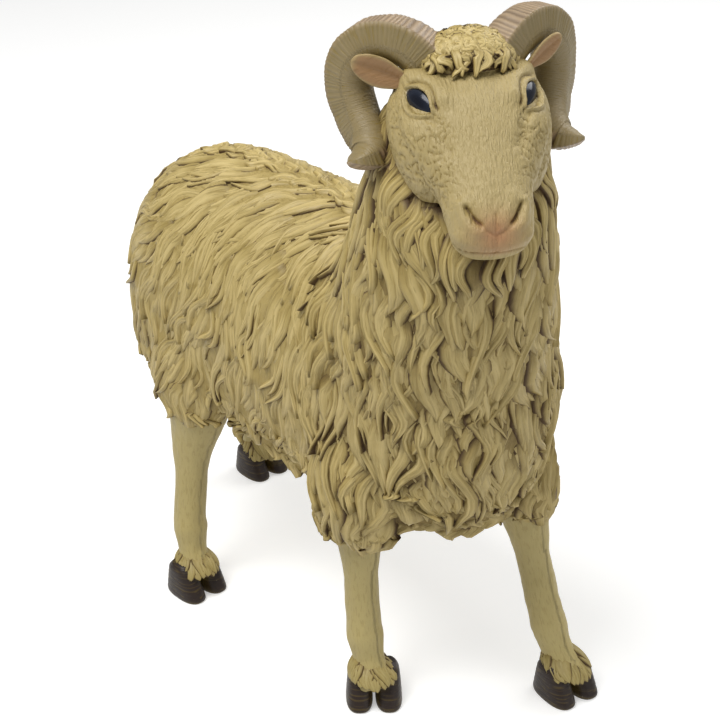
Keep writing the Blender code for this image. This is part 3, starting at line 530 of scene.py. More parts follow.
# %% Directions and rows of the head
HEAD_ROWS = [
    (-0.166, -0.22, 0.14, 0.07, 0.11), (-0.146, -0.22, 0.49, 0.22, 0.30),
    (-0.059, -0.18, 0.86, 0.26, 0.45), (0.078, -0.14, 1.05, 0.31, 0.58),
    (0.205, -0.09, 1.10, 0.33, 0.65), (0.322, -0.06, 1.02, 0.31, 0.65),
    (0.449, -0.055, 0.84, 0.285, 0.54), (0.576, -0.037, 0.66, 0.26, 0.41),
    (0.683, -0.037, 0.63, 0.25, 0.31), (0.771, -0.050, 0.58, 0.21, 0.26),
    (0.820, -0.070, 0.42, 0.14, 0.17), (0.836, -0.080, 0.10, 0.03, 0.04),
]
POLL_ROWS = 4
AHEAD = np.array([-sin(HEAD_TURN), -cos(HEAD_TURN), 0])
LEFT_LEVEL = np.array([cos(HEAD_TURN), -sin(HEAD_TURN), 0])
FACE = AHEAD * cos(HEAD_DIP) - Z_AXIS * sin(HEAD_DIP)
BROW_LEVEL = AHEAD * sin(HEAD_DIP) + Z_AXIS * cos(HEAD_DIP)
LEFT = LEFT_LEVEL * cos(HEAD_LEAN) + BROW_LEVEL * sin(HEAD_LEAN)
BROW = BROW_LEVEL * cos(HEAD_LEAN) - LEFT_LEVEL * sin(HEAD_LEAN)


def on_head(out, along, lift):
    """A spot of the head in millimetres: out to its left, along the face and out of the brow."""
    return POLL + (LEFT * out + FACE * along + BROW * lift) / 1000


def head_places(points):
    """The other way round: places as millimetres out, along and lifted from the poll."""
    return (points - POLL) @ np.stack([LEFT, FACE, BROW], -1) * 1000


def head_rings(rows, count, sides=44):
    rings = []
    for share, lift, width, above, below in smooth_rows(rows, count):
        centre = POLL + FACE * share * HEAD_LENGTH + BROW * lift * HEAD_DEPTH
        sizes = width * HEAD_WIDTH / 2, above * HEAD_DEPTH, below * HEAD_DEPTH
        rings.append(oval(centre, LEFT, BROW, *(max(size, 0.0008) for size in sizes), sides, 2.1))
    return rings


print("the face runs along", np.round(FACE, 2), "and the tip of the nose lies at",
      np.round(on_head(0, HEAD_ROWS[-1][0] * HEAD_LENGTH * 1000, 0) * 1000, 1), "mm")

# %% [markdown]
# The legs stand as on the real figure: the near front leg upright, the other one set well forward,
# and the hind legs apart. Each leg follows a line from its foot to the trunk, a little bent, and all
# four share one set of sections from pastern to thigh: height, shift to the back, width and depth. A
# leg is given by its foot, the place where it joins the trunk, how much it bends, how its hoof is
# turned, and how full and how low the wool hangs over it.

# %% Legs
SHANK_ROWS = [
    (0.010, 0.0000, 0.64, 0.66), (0.024, 0.0032, 0.45, 0.45), (0.036, 0.0048, 0.55, 0.54),
    (0.045, 0.0054, 0.52, 0.51), (0.070, 0.0050, 0.50, 0.49), (0.092, 0.0038, 0.66, 0.68),
    (0.110, 0.0020, 0.84, 0.92), (0.140, 0.0000, 1.10, 1.25),
]
SHIN_WIDTH, SHIN_DEPTH = 0.0172, 0.0182
HAUNCH_HEIGHT = 0.050
LEG_NOTES = "foot", "joint", "bend", "turn", "full", "hem"
LEGS = [dict(zip(LEG_NOTES, row)) for row in (
    ((-0.04000, -0.07625, 0), -0.225, 1.0, radians(-38), 1.0, 0.099),
    ((0.04000, -0.13625, 0), -0.335, 1.0, radians(-6), 0.7, 0.099),
    ((-0.05375, 0.06225, 0), 0.270, 1.6, radians(4), 1.0, 0.110),
    ((0.05375, 0.14425, 0), 0.455, 2.4, radians(2), 0.8, 0.110),
)]


def leg_line(leg, count):
    """Middle line of a leg with its half widths and half depths, from the hoof up."""
    foot = np.array(leg["foot"])
    top = np.array([np.sign(foot[0]) * 0.36 * TRUNK_WIDTH, leg["joint"] * TRUNK_LENGTH, BELLY_HEIGHT * 1.4])
    rows = smooth_rows(SHANK_ROWS, count)
    share = ((rows[:, 0] - rows[0, 0]) / (rows[-1, 0] - rows[0, 0]))[:, None]
    spine = foot + (top - foot) * share
    spine[:, 1] += rows[:, 1] * leg["bend"]
    spine[:, 2] = rows[:, 0] * BELLY_HEIGHT / 0.1
    haunch = 1 + 0.3 * (leg["joint"] > 0) * share[:, 0]
    return spine, rows[:, 2] * SHIN_WIDTH, rows[:, 3] * SHIN_DEPTH * haunch


def haunch_rings(leg):
    """Wool that hangs over the top of a leg."""
    spine = leg_line(leg, 30)[0]
    rings = []
    for share, size in ((0.0, 0.45), (0.10, 0.78), (0.30, 1.0), (0.65, 1.0), (1.0, 0.8)):
        level = leg["hem"] + share * HAUNCH_HEIGHT
        centre = np.array([np.interp(level, spine[:, 2], spine[:, k]) for k in range(2)] + [level])
        depth = 0.023 * size * leg["full"] * (1 + 0.25 * (leg["joint"] > 0))
        rings.append(oval(centre, X_AXIS, Y_AXIS, 0.017 * size * leg["full"], depth, depth, 20))
    return rings


print("feet in mm:", [tuple(round(v * 1000, 1) for v in leg["foot"]) for leg in LEGS])

# %% [markdown]
# ## Face
# The face was modelled smooth and then worked with small tools. A mesh can be worked the same way:
# the head is fused into one fine skin, and each stroke of the tool moves the points near a line in or
# out, most at the line and less away from it. Strokes are given once, in head places, and made on
# both sides.

# %% Head before its features
head_forms = Forms()
head_forms.loft(head_rings(HEAD_ROWS, 60))
for side in (-1, 1):
    cheek = []
    for share in np.linspace(-1, 1, 15):
        half = 0.0108 * (1 - share**2) ** 0.5 + 0.0004
        centre = on_head(side * (22.6 - 4.0 * share), 28.7 + 27 * share, -14)
        cheek.append(oval(centre, LEFT, BROW, half, half * 1.3, half * 1.3, 20))
    head_forms.loft(cheek)
head_mesh = fuse(head_forms, "head", 0.00078, 6)
print("the head has", len(head_mesh.vertices), "points")

# %% [markdown]
# Every stroke is a short row: the line it follows, its half width and how far it lifts the clay, all
# in millimetres. Lifts below zero cut in.

# %% Strokes of the modelling tool
STROKES = [
    ([(26, 3, 0), (23, 7, 6), (18, 13, 10), (14.5, 22, 12)], 4.2, 2.3),
    ([(19, 30, 9), (17, 36, 9.5), (15, 44, 9)], 3.0, -1.3),
    ([(0, 14, 14), (0, 36, 14), (0, 60, 13)], 7.5, 0.9),
    ([(26, 30, 0), (24, 40, -2), (20, 52, -4)], 5.0, 1.0),
    ([(13.8, 69, 8.5), (11.8, 77, 7.5), (8, 80.5, 7)], 2.6, 1.5),
    ([(8.5, 67, 11), (5.5, 73, 11), (3.6, 77, 9)], 2.4, 0.8),
    ([(12, 79, 1), (7, 83, 1.5), (3, 84.5, 1)], 3.2, 1.3),
    ([(12.2, 70.2, 9.5), (10.4, 73.6, 9.5), (8.6, 76.4, 9), (6.6, 78.0, 8.5)], 1.05, -2.9),
    ([(12.4, 70.5, 9), (11.2, 72.5, 9)], 1.3, -1.4),
    ([(6.6, 78.2, 8), (3.6, 80.4, 7), (0, 82.0, 5.6)], 0.75, -0.8),
    ([(0, 74.5, 10), (0, 78, 9), (0, 82, 5.6), (0, 84.5, 2)], 0.7, -0.7),
    ([(0, 84.5, -2.5), (7, 82.5, -3), (13, 76, -5), (16.5, 66, -8), (17.5, 58, -9)], 0.9, -1.7),
    ([(20.8, 30.0, 7.5), (18.6, 32.8, 8.8)], 0.8, -1.2),
    ([(17.6, 33.5, 9.4), (16.7, 36.4, 9.6)], 0.7, -1.1),
    ([(5.5, 52.5, 14), (6.0, 56.5, 13.5)], 0.6, -0.5),
    ([(23.5, 14, 8.5), (19.8, 20, 10.5), (17.4, 27, 11)], 0.8, -0.9),
]


def stroke(points, normals, tree, line, width, lift):
    """Moves skin near a line along its outward directions."""
    fine = [tree.find_nearest(Vector(on_head(*spot)))[0] for spot in smooth_rows(line, 26)]
    gap = np.min(np.linalg.norm(points[:, None] - np.array(fine)[None], axis=2), axis=1) * 1000
    return points + normals * (lift / 1000 * np.exp(-((gap / width) ** 2)))[:, None]


points, normals = read_points(head_mesh)
head_tree = skin_tree(head_mesh)
for line, width, lift in STROKES:
    for side in (-1, 1) if max(abs(spot[0]) for spot in line) > 0 else (1,):
        mirrored = [(side * out, along, rise) for out, along, rise in line]
        points = stroke(points, normals, head_tree, mirrored, width, lift)
write_points(head_mesh, points)
print(len(STROKES), "strokes laid")

# %% [markdown]
# An eye is a dark ball under two lids. The opening is an almond between two arcs, measured in the
# plane of the eye: points inside it are pressed in to make room for the ball, and along each arc a
# ridge is raised with a crease beyond it, the heavier pair above. A row of the folds holds how far
# above its arc one lies, its half width and its height.

# %% Eye sockets and lids
EYE_HALF, LID_UP, LID_DOWN = 9.7, 4.3, -3.9
UPPER_FOLDS = [(0.95, 0.85, 1.5), (3.0, 0.7, -0.9)]
LOWER_FOLDS = [(-0.75, 0.75, 0.9), (-2.2, 0.6, -0.5)]


def eye_frame(side):
    """Centre of an eye on the skin and its directions: to the outer corner, to the brow, outward."""
    inner, outer = on_head(side * 18.8, 29.0, 9.3), on_head(side * 29.6, 11.0, 1.6)
    centre = head_tree.find_nearest(Vector((inner + outer) / 2))[0]
    long = unit(outer - inner)
    outward = unit(LEFT * side * 0.80 + BROW * 0.46 + FACE * 0.16)
    outward = unit(outward - long * (outward @ long))
    up = np.cross(outward, long)
    return np.array(centre), long, up * np.sign(up @ BROW), outward


def socket(points, normals, side):
    centre, long, up, outward = eye_frame(side)
    offset = (points - centre) * 1000
    a, b, near = offset @ long, offset @ up, np.linalg.norm(offset, axis=1)
    bow = np.clip(1 - (a / EYE_HALF) ** 2, 0, 1)
    top, bottom = LID_UP * bow, LID_DOWN * bow
    here = step(18, 13, near) * (offset @ outward > -7)
    reach = step(EYE_HALF + 3.5, EYE_HALF - 1.5, np.abs(a)) * here
    lift = -1.9 * (step(-0.35, 0.45, np.minimum(top - b, b - bottom)) * here)
    for arc, folds in ((top, UPPER_FOLDS), (bottom, LOWER_FOLDS)):
        for above, width, height in folds:
            lift += height * np.exp(-(((b - arc - above) / width) ** 2)) * reach
    return points + normals * (lift / 1000)[:, None]


points, normals = read_points(head_mesh)
for side in (-1, 1):
    points = socket(points, normals, side)
write_points(head_mesh, points)
print("eye centre", np.round(head_places(np.array([eye_frame(1)[0]])), 1), "mm from the poll")

# %% [markdown]
# Short wool curls over the cheeks in worm-like lines and runs in fine strokes down the bridge. The
# level lines of a warped noise wander in just that way, so a cut is made wherever the noise passes
# through zero, with more depth on the cheeks and almost none on the brow and the muzzle. The skin
# also stores how rosy it is, most around the nostrils.

# %% Curly cheeks
points, normals = read_points(head_mesh)
places = head_places(points)
out, along, lift = places.T
cheeks = step(9, 17, np.abs(out)) * step(26, 36, along) * step(74, 64, along)
temples = step(20, 25, np.abs(out)) * step(4, 12, along) * step(4, -2, lift)
woolly = np.clip(cheeks + temples, 0, 1)
worms = np.empty(len(points))
for k, spot in enumerate(points * 260):
    spot = Vector(spot)
    warp = [noise.noise(spot * 0.55 + Vector((17.0 * axis, 5.0, 3.0))) for axis in (1, 2, 3)]
    worms[k] = noise.noise(spot + 1.3 * Vector(warp))
cut = 1 - step(0.0, 0.17, np.abs(worms))
points += normals * ((woolly * (0.45 - 0.55 * cut) - 0.08 * cut * step(12, 20, along)) / 1000)[:, None]
write_points(head_mesh, points)
store(head_mesh, "height", 1 - np.clip(hollows(head_mesh) * 1.9, 0, 1))
store_comb(head_mesh, out / 1000, along / 1000)
rosy = np.exp(-(((along - 82) / 7.5) ** 2) - (out / 9.5) ** 2) * step(-8, -1, lift)
store(head_mesh, "rosy", np.clip(rosy, 0, 1))
head_tree = skin_tree(head_mesh)
print("share of the head that is curly:", round(float(woolly.mean()), 2))

# %% Paint of the face
FLESH = (0.42, 0.195, 0.092, 1)
face_paint, tree, surface, colour, spot = hair_paint("face_paint")
uneven = maths(tree, "MULTIPLY_ADD", mottle(tree, spot, 300.0, 2.0), 0.5, 0.65)
uneven = maths(tree, "MULTIPLY", uneven, stored(tree, "rosy"))
flesh = blend(tree, maths(tree, "MULTIPLY", uneven, 0.85), colour, FLESH)
tree.links.new(flesh, surface.inputs["Base Color"])
place(head_mesh, "head", face_paint)

# %% [markdown]
# The painter gave the eyes navy irises that fill almost the whole opening, with a sliver of white
# below, in smooth paint. Each ball is an ellipsoid that lies deeper than the lids. It stores how far a
# point is from the middle of the iris, and a ramp turns that into colour.

# %% Eyes
IRIS_SHADES = {0.40: (0.006, 0.008, 0.015, 1), 0.72: (0.014, 0.019, 0.032, 1), 0.82: (0.012, 0.012, 0.012, 1)}
PUPIL, EYE_WHITE = (0.004, 0.005, 0.009, 1), (0.66, 0.62, 0.52, 1)
eye_forms = Forms()
turn = circle(40)
for side in (-1, 1):
    centre, long, up, outward = eye_frame(side)
    rings, iris = [], []
    for level in np.linspace(0.02, pi / 2 + 0.35, 22):
        a, b = 10.2 * np.sin(level) * np.cos(turn), 5.7 * np.sin(level) * np.sin(turn)
        lift = 4.1 * cos(level) - 2.9
        rings.append(centre + (np.outer(a, long) + np.outer(b, up) + lift * outward) / 1000)
        iris.append(np.hypot((a - 0.3) / 8.0, (b - 1.05) / 4.15))
    eye_forms.loft(rings, height=iris)
eye_paint, tree, surface = new_paint("eye_paint")
surface.inputs["Roughness"].default_value = 0.16
surface.inputs["Specular IOR Level"].default_value = 0.3
spot = add_node(tree, "ShaderNodeTexCoord").outputs["Object"]
edge = maths(tree, "MULTIPLY_ADD", mottle(tree, spot, 900.0, 3.0), 0.16, stored(tree, "height"))
ramp = add_node(tree, "ShaderNodeValToRGB", {0: maths(tree, "DIVIDE", edge, 1.3)})
shades = ramp.color_ramp.elements
shades[0].color, shades[1].color = PUPIL, EYE_WHITE
shades[1].position = 0.90
for position, shade in IRIS_SHADES.items():
    shades.new(position).color = shade
tree.links.new(ramp.outputs[0], surface.inputs["Base Color"])
place(eye_forms.mesh("eyes"), "eyes", eye_paint)

# %% [markdown]
# ## Fleece
# On the real figure the wool was modelled as a soft mass and then cut with a loop tool: locks that
# start flat, swell, and end in a point that lies over the root of the next one. The masses under the
# wool are fused into one smooth ground first, which guides the locks. They are then laid along it one
# at a time, each a loft of its own, because a real edge with a real gap under it takes the wash and
# the light in a way that a bump in the material can't.

# %% Ground under the wool
ground_forms = Forms()
for rings in (trunk_rings(), neck_rings(), tail_rings(), head_rings(HEAD_ROWS[:POLL_ROWS], 10, 26),
              *map(haunch_rings, LEGS)):
    ground_forms.loft(rings)
ground_mesh = fuse(ground_forms, "ground_guide", 0.004, 1)
ground_mesh.calc_loop_triangles()
ground_corners = np.array([triangle.vertices[:] for triangle in ground_mesh.loop_triangles])
ground_points, _ = read_points(ground_mesh)
ground_tree = BVHTree.FromPolygons(ground_points.tolist(), ground_corners.tolist())
print("the ground has", len(ground_points), "points")

# %% [markdown]
# The lie of the wool is a field of directions over the ground: straight down at first, swept back
# behind the shoulder, and parted at the spine. A slow noise turns it to and fro, and because it turns
# neighbours alike, they wave together like combed hair.


# %% Lie of the wool
def seat(point):
    """Nearest spot on the ground and its outward direction."""
    spot, outward, _, _ = ground_tree.find_nearest(Vector(point))
    return np.array(spot), np.array(outward)


def lie(point, outward):
    """Direction in which the wool lies at a spot of the ground."""
    swept = np.clip((point[1] + 0.28 * TRUNK_LENGTH) / (0.41 * TRUNK_LENGTH), 0, 1)
    rump = np.clip((point[1] - 0.32 * TRUNK_LENGTH) / (0.19 * TRUNK_LENGTH), 0, 1)
    top = max(outward[2], 0)
    wish = np.array([np.sign(point[0]) * 0.42 * top * swept, (0.34 + 0.75 * top) * swept, -1.0])
    wish = unit(wish - outward * (wish @ outward))
    turn = (0.65 + 0.65 * rump - 0.3 * top) * noise.noise(Vector(point / 0.029))
    return wish * cos(turn) + np.cross(outward, wish) * sin(turn)


def lay(start, length, heading=None, steps=12, hem=0.012):
    """Line of a lock over the ground: points, outward directions and how free each one hangs.

    Under the belly the line leaves the ground and hangs for the length of the hem."""
    point, outward = seat(start)
    guided = heading is None
    heading = lie(point, outward) if guided else heading
    points, outs, free = [point], [outward], [0.0]
    stride, hung = length / steps, 0.0
    for _ in range(steps):
        if guided:
            heading = unit(0.8 * heading + lie(point, outward))
        if outward[2] < -0.30 and hem > 0:
            hung += stride
            if hung > hem:
                break
            point = point + unit(heading - Z_AXIS * 1.3) * stride
            outward = unit(outward * 0.7 + outs[0] * 0.3)
        else:
            point, outward = seat(point + heading * stride)
        points.append(point)
        outs.append(outward)
        free.append(min(hung / stride, 1.0))
    return np.array(points), np.array(outs), np.array(free)


flank = [-TRUNK_WIDTH, 0, TRUNK_HEIGHT]
print("on the right flank the wool lies along", np.round(lie(*seat(flank)), 2))

# %% [markdown]
# One function makes every lock, from the short combed strands of the back to the long waves of the
# chest. A lock is a bundle of flames: they run side by side along one swaying line, each lies a
# little over the next like a roof tile, and each ends in a point of its own. The section of a flame
# has one steep side and one soft slope, with combed ridges, because a loop tool leaves round valleys
# and keen crests.


# %% One flame
def flame_rings(spine, across, up, half, lift, sink, strands, seed, tops):
    """Rings of one flame of a lock, with the height and the comb place of each of its points."""
    half, lift, sink = half[:, None], lift[:, None], sink[:, None]
    u = np.linspace(-1, 1, tops)
    vault = (1 - np.abs(u) ** 2.0)[None, :]
    crest = 1 - np.abs(np.sin(u * pi * strands / 2 + seed * 9))[None, :] * 1.25
    soft, steep = 1 - (np.abs(u - 0.5) / 1.5) ** 2.4, 1 - 0.35 * ((u - 0.5) / 0.5) ** 2
    foot = np.maximum(sink, 0)
    top = foot + (lift - foot + 0.42 * half) * np.where(u < 0.5, soft, steep)[None, :]
    top = top + 0.17 * half * crest * vault**0.4
    x = np.concatenate([np.where(u < 0, 1.3, 0.95) * u, [0.7, -0.9]])
    offset_x, offset_z = half * x[None, :], np.hstack([top, np.repeat(sink, 2, axis=1)])
    rings = spine[:, None] + across[:, None] * offset_x[..., None] + up[:, None] * offset_z[..., None]
    count = len(spine)
    # The stored height falls towards the edges of a flame and towards its root, under the tip of the lock
    # before it, so the paint darkens those spots: painted shade along with the wash, and less painted
    # highlight.
    root_shade_and_wash = (0.45 + 0.55 * np.minimum(np.linspace(0, 1, count) * 2.5, 1))[:, None]
    section_height = np.clip(vault**0.5 * (0.74 + 0.26 * np.clip(crest, -0.25, 1)), 0, 1) * np.ones((count, 1))
    height = np.hstack([section_height, np.zeros((count, 2))]) * root_shade_and_wash
    along = np.repeat(travelled(spine)[:, None], x.size, 1)
    comb = np.stack([offset_x, along, np.full(offset_x.shape, seed * 0.1)], -1)
    return rings[:, ::-1], height[:, ::-1], comb[:, ::-1]


# %% A bundle of flames
def lock(forms, line, width, rise, phase, flames, wave, rounds=15, strands=3, root=0.45, tops=11):
    """Lays a bundle of flames along a line. The phase sets its sway and which way its flames lean."""
    points, outs, free = line
    rows = smooth_rows(np.hstack([points, outs, free[:, None]]), rounds)
    share = np.linspace(0, 1, rounds)
    forward = unit(np.gradient(rows[:, :3], axis=0))
    up = unit(rows[:, 3:6] - forward * np.sum(rows[:, 3:6] * forward, axis=1, keepdims=True))
    across = np.cross(up, forward)
    sway = wave * np.sin(2 * pi * (phase + share * 1.1)) * np.minimum(share * 3, 1)
    spine = rows[:, :3] + across * sway[:, None]
    body = width / 2 * np.minimum(root + 1.6 * share, 1)
    taper = body * (1 - share**2.6) ** 0.85
    lift = rise * (0.08 + 0.92 * share)
    lean = 1 if phase > 0.5 else -1
    for k in range(flames):
        seed = (phase * 7.3 + k * 0.37) % 1
        end = 1 - 0.24 * seed * (flames > 1)
        middle = (2 * k + 1) / flames - 1
        own = body / flames * (1.50 if flames > 1 else 1.25)
        own = own * (1 - np.minimum(share / end, 1) ** (2.2 + seed)) ** 0.8 + 0.00012
        curl_over = 0.0011 * np.sin(2 * pi * (seed + share * (1.2 + seed))) * (flames > 1)
        aside = lean * (middle * (0.4 * body + 0.6 * taper) + curl_over)
        level = lift - 0.35 * taper + 0.35 * taper * (1 - middle**2) - 0.0006 * seed
        sink = np.where(rows[:, 6] > 0.4, level - 0.8 * own - 0.0005, -0.0012)
        kept = share <= end + 1e-9
        rings = flame_rings((spine + across * aside[:, None])[kept], lean * across[kept], up[kept],
                            own[kept], level[kept], sink[kept], strands, seed, tops)
        forms.loft(*(values[:, ::lean] for values in rings))


sample = Forms()
lock(sample, lay(flank, 0.05), 0.014, 0.008, 0.5, 3, 0.003)
print("a lock of three flames has", len(sample.faces), "faces")

# %% [markdown]
# Where do the locks go? Spots are thrown at random over the ground and kept only if they are far
# enough from the ones before, which is how wool staples space themselves. The back gets slim combed
# strands, the flank broader flames, and the chest and neck the longest and deepest waves.


# %% Spots for the locks
def chest_share(y):
    """How much a place along the ram belongs to the chest and neck, from 0 to 1."""
    return np.clip((-y - 0.12 * TRUNK_LENGTH) / (0.13 * TRUNK_LENGTH), 0, 1)


def zone(point, outward):
    """How much a spot belongs to the back and to the chest and neck, each from 0 to 1."""
    behind = np.clip((point[1] + 0.36 * TRUNK_LENGTH) / (0.12 * TRUNK_LENGTH), 0, 1)
    return np.clip((outward[2] - 0.3) / 0.4, 0, 1) * behind, chest_share(point[1])


def scatter(thrower, tries, spacing, closer, wider):
    """Spots over the ground that keep a spacing, closer on the back and wider on the chest."""
    a, b, c = (ground_points[ground_corners[:, k]] for k in range(3))
    square = np.cross(b - a, c - a)
    area = np.linalg.norm(square, axis=1)
    chosen = thrower.choice(len(area), tries, p=area / area.sum())
    u, v = thrower.random((2, tries, 1))
    flip = (u + v) > 1
    u, v = np.where(flip, 1 - u, u), np.where(flip, 1 - v, v)
    candidates = a[chosen] + (b - a)[chosen] * u + (c - a)[chosen] * v
    kept = np.empty((0, 3))
    for point, normal in zip(candidates, square[chosen]):
        back, chest = zone(point, unit(normal))
        apart = spacing * (1 - closer * back + wider * chest)
        if len(kept) == 0 or np.min(np.sum((kept - point) ** 2, axis=1)) > apart**2:
            kept = np.vstack([kept, point])
    return kept


# %% Where wool stops, and the pieces of the fleece
def bare_of_wool(spot):
    """Whether a spot of the ground lies under the face or the forelock."""
    out, along, lift = head_places(spot)
    under_forelock = abs(out) < 24 and abs(along) < 12.3 and lift > -11.9
    return under_forelock or (along > -3.1 and lift > -24.3 and np.hypot(np.hypot(out, along), lift) < 51)


def inside_head(spot):
    """Whether a spot of the ground lies under the skin of the face."""
    near, outward, _, gap = head_tree.find_nearest(Vector(spot))
    return gap < 0.03 and (Vector(spot) - near).dot(outward) < -0.0005


def over_face(line):
    """Whether a lock would run across the brow or the temple."""
    reach = head_places(line[0])
    return np.any((np.abs(reach[:, 0]) < 36) & (reach[:, 1] > -8) & (reach[:, 2] > -15))


def piece_for(spot, back, chest):
    """Name of the piece of fleece that a lock belongs to."""
    if back > 0.5:
        return "fleece_back"
    if spot[1] > 0.115:
        return "fleece_rump"
    if chest > 0.5:
        return "fleece_neck" if spot[2] > 0.235 else "fleece_chest"
    return "fleece_flank_left" if spot[0] > 0 else "fleece_flank_right"


FLEECE_PARTS = "back", "flank_right", "flank_left", "chest", "neck", "rump", "under"
fleece = {f"fleece_{part}": Forms() for part in FLEECE_PARTS}
layout = np.random.default_rng(7)
LOCK_SPACING, FILLER_SPACING = 0.0152, 0.0070
spots = scatter(layout, 9000, LOCK_SPACING, 0.12, 0.12)
print(len(spots), "spots for locks")

# %% Laying the locks
LOCK_LENGTH, LOCK_WIDTH, LOCK_RISE = 0.047, 0.0138, 0.0078
for spot in spots:
    spot, outward = seat(spot)
    vary, phase = 0.8 + 0.4 * layout.random(), layout.random()
    back, chest = zone(spot, outward)
    if outward[2] < (-0.45 if chest > 0.6 else -0.60) or bare_of_wool(spot):
        continue
    length = LOCK_LENGTH * vary * (1 + 0.08 * back + 0.25 * chest)
    width = LOCK_WIDTH * vary * (1 - 0.16 * back + 0.30 * chest)
    rise = LOCK_RISE * (1 - 0.50 * back + 0.25 * chest)
    line = lay(spot, length)
    if not over_face(line):
        wave, flames = 0.0034 + 0.0016 * chest, 3 if vary > 1 else 2
        lock(fleece[piece_for(spot, back, chest)], line, width, rise, phase, flames, wave, strands=4)
print("flames laid:", sum(len(forms.points) for forms in fleece.values()))

# %% [markdown]
# Shorter and lower flames fill the ground between the locks, close up to the jaw and the horns and
# along the belly, so that no bare ground shows. A ridge of small crossed locks covers the parting
# along the spine.

# %% Fillers
FILLER_LENGTH, FILLER_WIDTH, FILLER_RISE = 0.034, 0.0074, 0.0036
for spot in scatter(dice, 16000, FILLER_SPACING, 0.06, -0.08):
    spot, outward = seat(spot)
    vary, phase = 0.75 + 0.5 * dice.random(), dice.random()
    out, along, lift = head_places(spot)
    if inside_head(spot) or (abs(out) < 32 and along > -9 and lift > -17):
        continue
    back, chest = zone(spot, outward)
    below = outward[2] < -0.6
    if below and chest > 0.4:
        continue
    length = (FILLER_LENGTH - 0.010 * below) * vary
    width = (FILLER_WIDTH - 0.0012 * back) * vary
    rise = FILLER_RISE * (1 - 0.45 * back + 0.55 * chest) * (0.5 if below else 1) * vary
    heading = unit(np.array([0.3 * sin(phase * 40), 1.0, 0.0])) if below else None
    line = lay(spot, length, heading, 8, 0 if below else 0.010)
    if over_face(line):
        continue
    forms = fleece["fleece_under" if below else piece_for(spot, back, chest)]
    lock(forms, line, (1.25 + 0.5 * chest) * width, rise, phase, 1, 0.0012 + 0.0010 * chest, 9, 3, 0.7, 9)
print("with fillers:", sum(len(forms.points) for forms in fleece.values()))

# %% Ridge along the spine
RIDGE_LOCKS, RIDGE_STEP = 62, 0.0029
for k in range(RIDGE_LOCKS):
    hand, aside = (1 if k % 2 else -1), dice.uniform(-0.004, 0.004)
    start = np.array([aside, -0.20 * TRUNK_LENGTH + k * RIDGE_STEP, TRUNK_HEIGHT + 0.6 * TRUNK_DEPTH])
    line = lay(start, dice.uniform(0.011, 0.017), unit(np.array([hand * dice.uniform(0.3, 1.2), 1.0, 0.0])))
    width, rise = dice.uniform(0.0050, 0.0078), dice.uniform(0.0032, 0.0050)
    lock(fleece["fleece_back"], line, width, rise, dice.random(), 1, 0.0016, 10, 2, 0.8, 9)
print("with the ridge:", sum(len(forms.points) for forms in fleece.values()))

# %% [markdown]
# Under the chin and behind the jaw the wool hangs free as a ruff. Each row gives the root of a lock on
# the head, how far it leans aside and ahead as it hangs, its length and its width. Those behind the
# jaw are alike on both sides.

# %% Ruff
HANGING = [
    ((4, 66, -17), (0.10, 0.20), 0.034, 0.0150), ((-7, 63, -17), (-0.10, 0.10), 0.036, 0.0130),
    ((12, 58, -17), (0.20, 0.10), 0.034, 0.0130), ((-14, 56, -18), (-0.20, 0.00), 0.036, 0.0130),
    ((0, 54, -20), (0.05, 0.15), 0.044, 0.0140), ((19, 46, -18), (0.25, 0.00), 0.040, 0.0120),
    ((-20, 46, -18), (-0.25, 0.00), 0.040, 0.0120),
]
for out, along, lift, aside, ahead, length, width in (
        (25, 33, -16, 0.20, -0.10, 0.040, 0.0120), (27, 22, -17, 0.15, -0.15, 0.036, 0.0110),
        (27, 12, -14, 0.10, -0.15, 0.034, 0.0110), (26, 4, -12, 0.05, -0.15, 0.032, 0.0100)):
    for side in (1, -1):
        HANGING.append(((side * out, along, lift), (side * aside, ahead), length, width))
share = np.linspace(0, 1, 9)[:, None]
for root, (aside, ahead), length, width in HANGING:
    down = unit(-Z_AXIS + LEFT_LEVEL * aside + AHEAD * ahead)
    bulge = unit(AHEAD + LEFT_LEVEL * 0.06 * root[0])
    spine = on_head(*root) + down * share * length + bulge * 0.006 * np.sin(share * pi)
    line = (spine, np.tile(bulge, (9, 1)), np.minimum(share[:, 0] * 3, 1))
    lock(fleece["fleece_neck"], line, width, 0.0030, dice.random(), 3, 0.0030, 16, 3, 0.6)
print("with the ruff:", sum(len(forms.points) for forms in fleece.values()))

# %% [markdown]
# The cuts between two locks are shallow on the real figure, for the tool only scratched the soft mass
# there. So a finer copy of the ground is raised until it lies a little under the locks, and this one
# is the piece that shows. Its height is read by looking down on the locks from outside. Then each
# spot takes the highest value near it, and after that the lowest, which fills narrow cuts to their
# rims and leaves wide hollows as they are.


# %% Raising the ground
def spread(values, ends, choose, rounds):
    """Gives every point the largest or the smallest value among its neighbours, a few times over."""
    for _ in range(rounds):
        wider = values.copy()
        for near, far in ((0, 1), (1, 0)):
            choose.at(wider, ends[:, near], values[ends[:, far]])
        values = wider
    return values


REACH_OUT, CUT_DEPTH = 0.014, 0.0011
corners, blocks, offset = [], [], 0
for forms in fleece.values():
    corners.extend([[corner + offset for corner in face] for face in forms.faces])
    blocks.extend(forms.points)
    offset += forms.count
lock_tree = BVHTree.FromPolygons(np.vstack(blocks).tolist(), corners)
raised = fuse(ground_forms, "fleece_ground", 0.004, 1, finer=1)
points, normals = read_points(raised)
cover = np.zeros(len(points))
for k, (point, normal) in enumerate(zip(points, normals)):
    hit = lock_tree.ray_cast(Vector(point + normal * REACH_OUT), Vector(-normal), REACH_OUT)
    cover[k] = REACH_OUT - hit[3] if hit[0] is not None else 0.0
ends = edge_ends(raised)
cover = soften(spread(spread(cover, ends, np.maximum, 3), ends, np.minimum, 3), ends, 2)
chest = chest_share(points[:, 1])
rise = np.maximum(cover - CUT_DEPTH * (1 + 0.9 * chest), 0)
write_points(raised, points + normals * rise[:, None])
